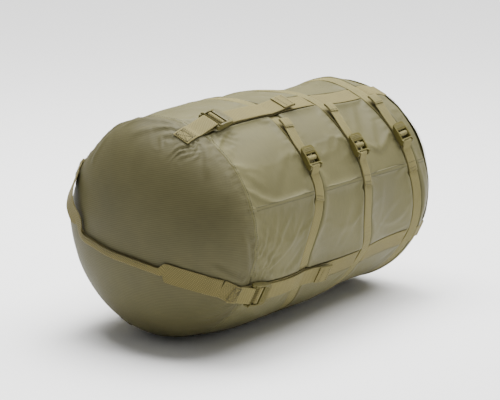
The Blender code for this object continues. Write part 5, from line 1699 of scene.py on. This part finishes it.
def folded_grip(name, P, N, width, thick, open_f, mat, seed):
    """Webbing folded in half lengthwise over itself; open_f says how far it has opened out."""
    P, N = np.asarray(P, float), unit_rows(N)
    n = len(P)
    T = unit_rows(np.gradient(P, axis=0))
    S = unit_rows(np.cross(T, N))
    L = np.concatenate([[0], np.cumsum(np.linalg.norm(np.diff(P, axis=0), axis=1))])
    half = LONG_W / 2
    ctr = 17
    V, F, UV = [], [], []
    us = np.linspace(-1, 1, ctr)
    for i in range(n):
        o = float(open_f[i])
        w = float(width[i])
        # centre line across the cloth: a U lying on its side that opens to a flat strip
        rows = []
        for u in us:
            ang = u * math.pi / 2 * (1 - o)
            if o > 0.999:
                rows.append((u * half, 0.0))
            else:
                # stadium: two legs of the folded strip, one over the other, with a round back
                leg = max(w / 2 - 0.0012, 0.001)
                bend = 0.0016
                path = u * half
                lb = bend * math.pi / 2
                if abs(path) < lb:
                    q = path / bend
                    a_, b_ = -leg - bend * math.cos(q), bend * math.sin(q)
                else:
                    a_ = -leg + (abs(path) - lb) * (2 * leg / max(half - lb, 1e-6))
                    b_ = math.copysign(bend, path)
                fa, fb = u * half, 0.0
                rows.append((a_ * (1 - o) + fa * o, b_ * (1 - o) + fb * o))
        rows = np.array(rows)
        tang = np.gradient(rows, axis=0)
        tang /= np.linalg.norm(tang, axis=1, keepdims=True)
        nn = np.stack([-tang[:, 1], tang[:, 0]], 1)
        th = thick / 2 * 0.80
        for sgn in (1, -1):
            seq = rows + nn * th * sgn
            if sgn < 0:
                seq = seq[::-1]
            for a_, b_ in seq:
                V.append(P[i] + S[i] * a_ + N[i] * (b_ + 0.0009 * (1 - o)))
    m = 2 * ctr
    ucoord = np.concatenate([us * half, us[::-1] * half])
    for i in range(n - 1):
        for j in range(m):
            k2 = (j + 1) % m
            F.append((i * m + j, i * m + k2, (i + 1) * m + k2, (i + 1) * m + j))
            UV += [(ucoord[j], L[i]), (ucoord[k2], L[i]), (ucoord[k2], L[i + 1]), (ucoord[j], L[i + 1])]
    for i, rev in ((0, True), (n - 1, False)):
        for j in range(ctr - 1):
            q = (i * m + j, i * m + j + 1, i * m + m - 2 - j, i * m + m - 1 - j)
            F.append(q[::-1] if rev else q)
            UV += [(0.0, L[i])] * 4
    ob = make(name, np.array(V), F, mat, UV, smooth_angle=60)
    fix_normals(ob)
    return ob


cloth = G.reshape(-1, 3)
cloth = cloth[cloth[:, 0] < 0.01]


def clear_cloth(P, N, half, above):
    """Moves points out along their normals until the webbing lies on the cloth."""
    P, N = np.array(P, float), unit_rows(N)
    need = np.zeros(len(P))
    for i in range(len(P)):
        d = cloth - P[i]
        d = d[(d * d).sum(1) < 0.03 ** 2]
        if not len(d):
            continue
        h = d @ N[i]
        lat = np.linalg.norm(d - h[:, None] * N[i], axis=1)
        near = h[lat < half]
        if len(near):
            need[i] = max(0.0, near.max() + above)
    wide = np.array([need[max(0, i - 2):i + 3].max() for i in range(len(need))])
    pad = np.concatenate([np.full(3, wide[0]), wide, np.full(3, wide[-1])])
    soft = np.convolve(pad, np.ones(7) / 7, "valid")
    return P + N * np.minimum(soft, 0.008)[:, None]


HEAVY = LONG_T / 2 + 0.0003
# sewn ends twist between the sack and the swinging handle
_, P, T, N = handle_run(0.04, CUTS[1] + 0.02, 26)
P = clear_cloth(P, N, 0.0155, HEAVY)
ROOT = {"handle_tack_b": (P[0] - T[0] * 0.00006, N[0])}
end_b = webbing("handle_root_b", P, N, LONG_W, LONG_T, M_GRIP, seed=601)
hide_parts("handle_end_b")
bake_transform(end_b)
_, P, T, N = handle_run(CUTS[4] + 0.02, CUTS[5] - 0.02, 26)
P = clear_cloth(P, N, 0.0155, HEAVY)
ROOT["handle_tack_d"] = (P[-1] + T[-1] * 0.00006, N[-1])
end_dv = webbing("handle_root_d", P, N, LONG_W, LONG_T, M_GRIP, seed=602)
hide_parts("handle_end_d")
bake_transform(end_dv)

# middle: flat at both ends, folded in half and sewn along its open edges where the hand goes
us, P, T, N = handle_run(CUTS[1], CUTS[4] + 0.02, 190)
opening = 1 - smooth(3.15, 3.60, us) * (1 - smooth(8.30, 9.75, us))
width = 0.0118 + (LONG_W - 0.0118) * opening
on_dome = us < 8.4
P[on_dome] = clear_cloth(P[on_dome], N[on_dome], 0.0100, HEAVY)
grip = folded_grip("handle_grip_web", P, N, width, LONG_T, opening, M_GRIP, 603)
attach(grip, "handle")
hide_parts("handle_web_b", "handle_grip", "handle_web_d")
sel = (us > 4.0) & (us < 8.1)
Sx = unit_rows(np.cross(T, N))
for off in (0.0052,):
    HANDLE_RUNS.append((P[sel] + Sx[sel] * off + N[sel] * (0.0009 + 0.0016 + LONG_T * 0.42), N[sel]))
    HANDLE_RUNS.append((P[sel] + Sx[sel] * (off - 0.0030) + N[sel] * (0.0009 + 0.0016 + LONG_T * 0.42), N[sel]))

# patches where the handle webbing is sewn over the anchors
for name, node, phi0, phi1, s0, s1 in (("handle_tack_b", "handle_patch_b", -24.3, -26.6, 63.9, 77.2),
                                       ("handle_tack_d", "handle_patch_d", 153.0, 153.0, 64.8, 77.6)):
    ss, pp = np.linspace(s0 + 2.0, s1, 29), np.linspace(phi0, phi1, 29)
    over = smooth(70.0, 73.4, ss)
    lift = HANDLE_LIFT * (1 - over) + (0.0004 + 2 * (LONG_T - 0.0008) + 0.5 * LONG_T) * over
    P, N = on_base(ss, pp, lift)
    P = clear_cloth(P, N, 0.0155, HEAVY)
    P, N = np.concatenate([[ROOT[name][0]], P]), np.concatenate([[ROOT[name][1]], N])
    ob = webbing(name, P, N, LONG_W, LONG_T, M_GRIP, seed=610)
    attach(ob, "sack")
    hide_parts(node)
    T = unit_rows(np.gradient(P, axis=0))
    box_x(P[24], N[24], T[24], 0.0058, 0.0118, LONG_T / 2 + 0.00015, SACK_RUNS)

# ------------------------------------------------------------------ seam stitching on the cloth
for c in SEAM_PHI:
    for off in (-0.78, 0.78):
        xs = np.arange(0.0105, BODY_L - 0.003, 0.004)
        cross = belt_mask(xs, np.full_like(xs, c), 0.001) < 0.3
        start = 0
        for i in range(1, len(xs) + 1):
            if i == len(xs) or cross[i] != cross[i - 1]:
                if cross[i - 1] and i - start > 1:
                    P, N = on_wall(xs[start:i], c + off, 0.00005)
                    SEAM_RUNS.append((P, N))
                start = i
for x in (0.0040,):
    for lo, hi in zip(sorted(STRAP_PHI.values()), sorted(STRAP_PHI.values())[1:] + [sorted(STRAP_PHI.values())[0] + 360]):
        ph = np.arange(lo + H + 0.8, hi - H - 0.8, 1.3)
        P, N = on_wall(np.full_like(ph, x), ph, 0.00005)
        SEAM_RUNS.append((P, N))
ph = np.arange(0, 361, 1.5)
P = np.array([far_skin(np.array([77.0]), np.array([a]), lid_depth(np.array([77.0]), np.array([a])) - 0.0014)[0] for a in ph])
N = np.array([far_normal(np.array([77.0]), np.array([a]))[0] for a in ph])
LID_RUNS.append((P, N))

# the thread colours carry painted shade of the stitch holes
for name, runs, body, mat, pitch, length, dia in (
        ("seam_stitching", SEAM_RUNS, "sack", M_SEAM_THREAD_PAINTED_SHADE, 0.0033, 0.0024, 0.00078),
        ("webbing_stitching", SACK_RUNS, "sack", M_THREAD_PAINTED_SHADE, 0.0030, 0.0024, 0.00085),
        ("lid_stitching", LID_RUNS, "lid", M_THREAD_PAINTED_SHADE, 0.0030, 0.0024, 0.00080),
        ("handle_stitching", HANDLE_RUNS, "handle", M_THREAD_PAINTED_SHADE, 0.0032, 0.0024, 0.00085)):
    ob = stitches(name, runs, mat, pitch, length, dia)
    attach(ob, body)

# ------------------------------------------------------------------ floor and light
fm = Tree("studio_floor")
fm.b.inputs["Base Color"].default_value = (0.90, 0.90, 0.895, 1)
fm.b.inputs["Roughness"].default_value = 0.75
fm.b.inputs["Specular IOR Level"].default_value = 0.2
me = bpy.data.meshes.new("studio_floor")
me.from_pydata([(-14, -14, -0.0002), (14, -14, -0.0002), (14, 14, -0.0002), (-14, 14, -0.0002)], [], [(0, 1, 2, 3)])
me.materials.append(fm.m)
floor = bpy.data.objects.new("studio_floor", me)
scene.collection.objects.link(floor)
floor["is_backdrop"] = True


def area(name, place, target, size, size_y, power, color=(1, 1, 1)):
    d = bpy.data.lights.new(name, "AREA")
    d.shape = "RECTANGLE"
    d.size, d.size_y = size, size_y
    d.energy = power
    d.color = color
    o = bpy.data.objects.new(name, d)
    scene.collection.objects.link(o)
    o.location = place
    o.rotation_mode = "QUATERNION"
    o.rotation_quaternion = (Vector(target) - Vector(place)).to_track_quat("-Z", "Y")
    return o


sun_data = bpy.data.lights.new("overhead", "SUN")
sun_data.energy = 5.6
sun_data.angle = math.radians(56.0)
sun = bpy.data.objects.new("overhead", sun_data)
scene.collection.objects.link(sun)
sun.rotation_mode = "QUATERNION"
sun.rotation_quaternion = Vector((-0.40, 0.10, -0.91)).to_track_quat("-Z", "Y")
area("top_soft", (0.2, 0.5, 2.2), (0.0, 0.0, 0.25), 1.6, 1.2, 110)
area("side_soft", (1.7, -2.6, 1.2), (0.10, 0.0, 0.15), 1.6, 1.2, 5)
world = bpy.data.worlds.new("studio")
world.use_nodes = True
world.node_tree.nodes["Background"].inputs[0].default_value = (1.0, 1.0, 1.0, 1)
world.node_tree.nodes["Background"].inputs[1].default_value = 0.30
scene.world = world

lo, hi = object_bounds()
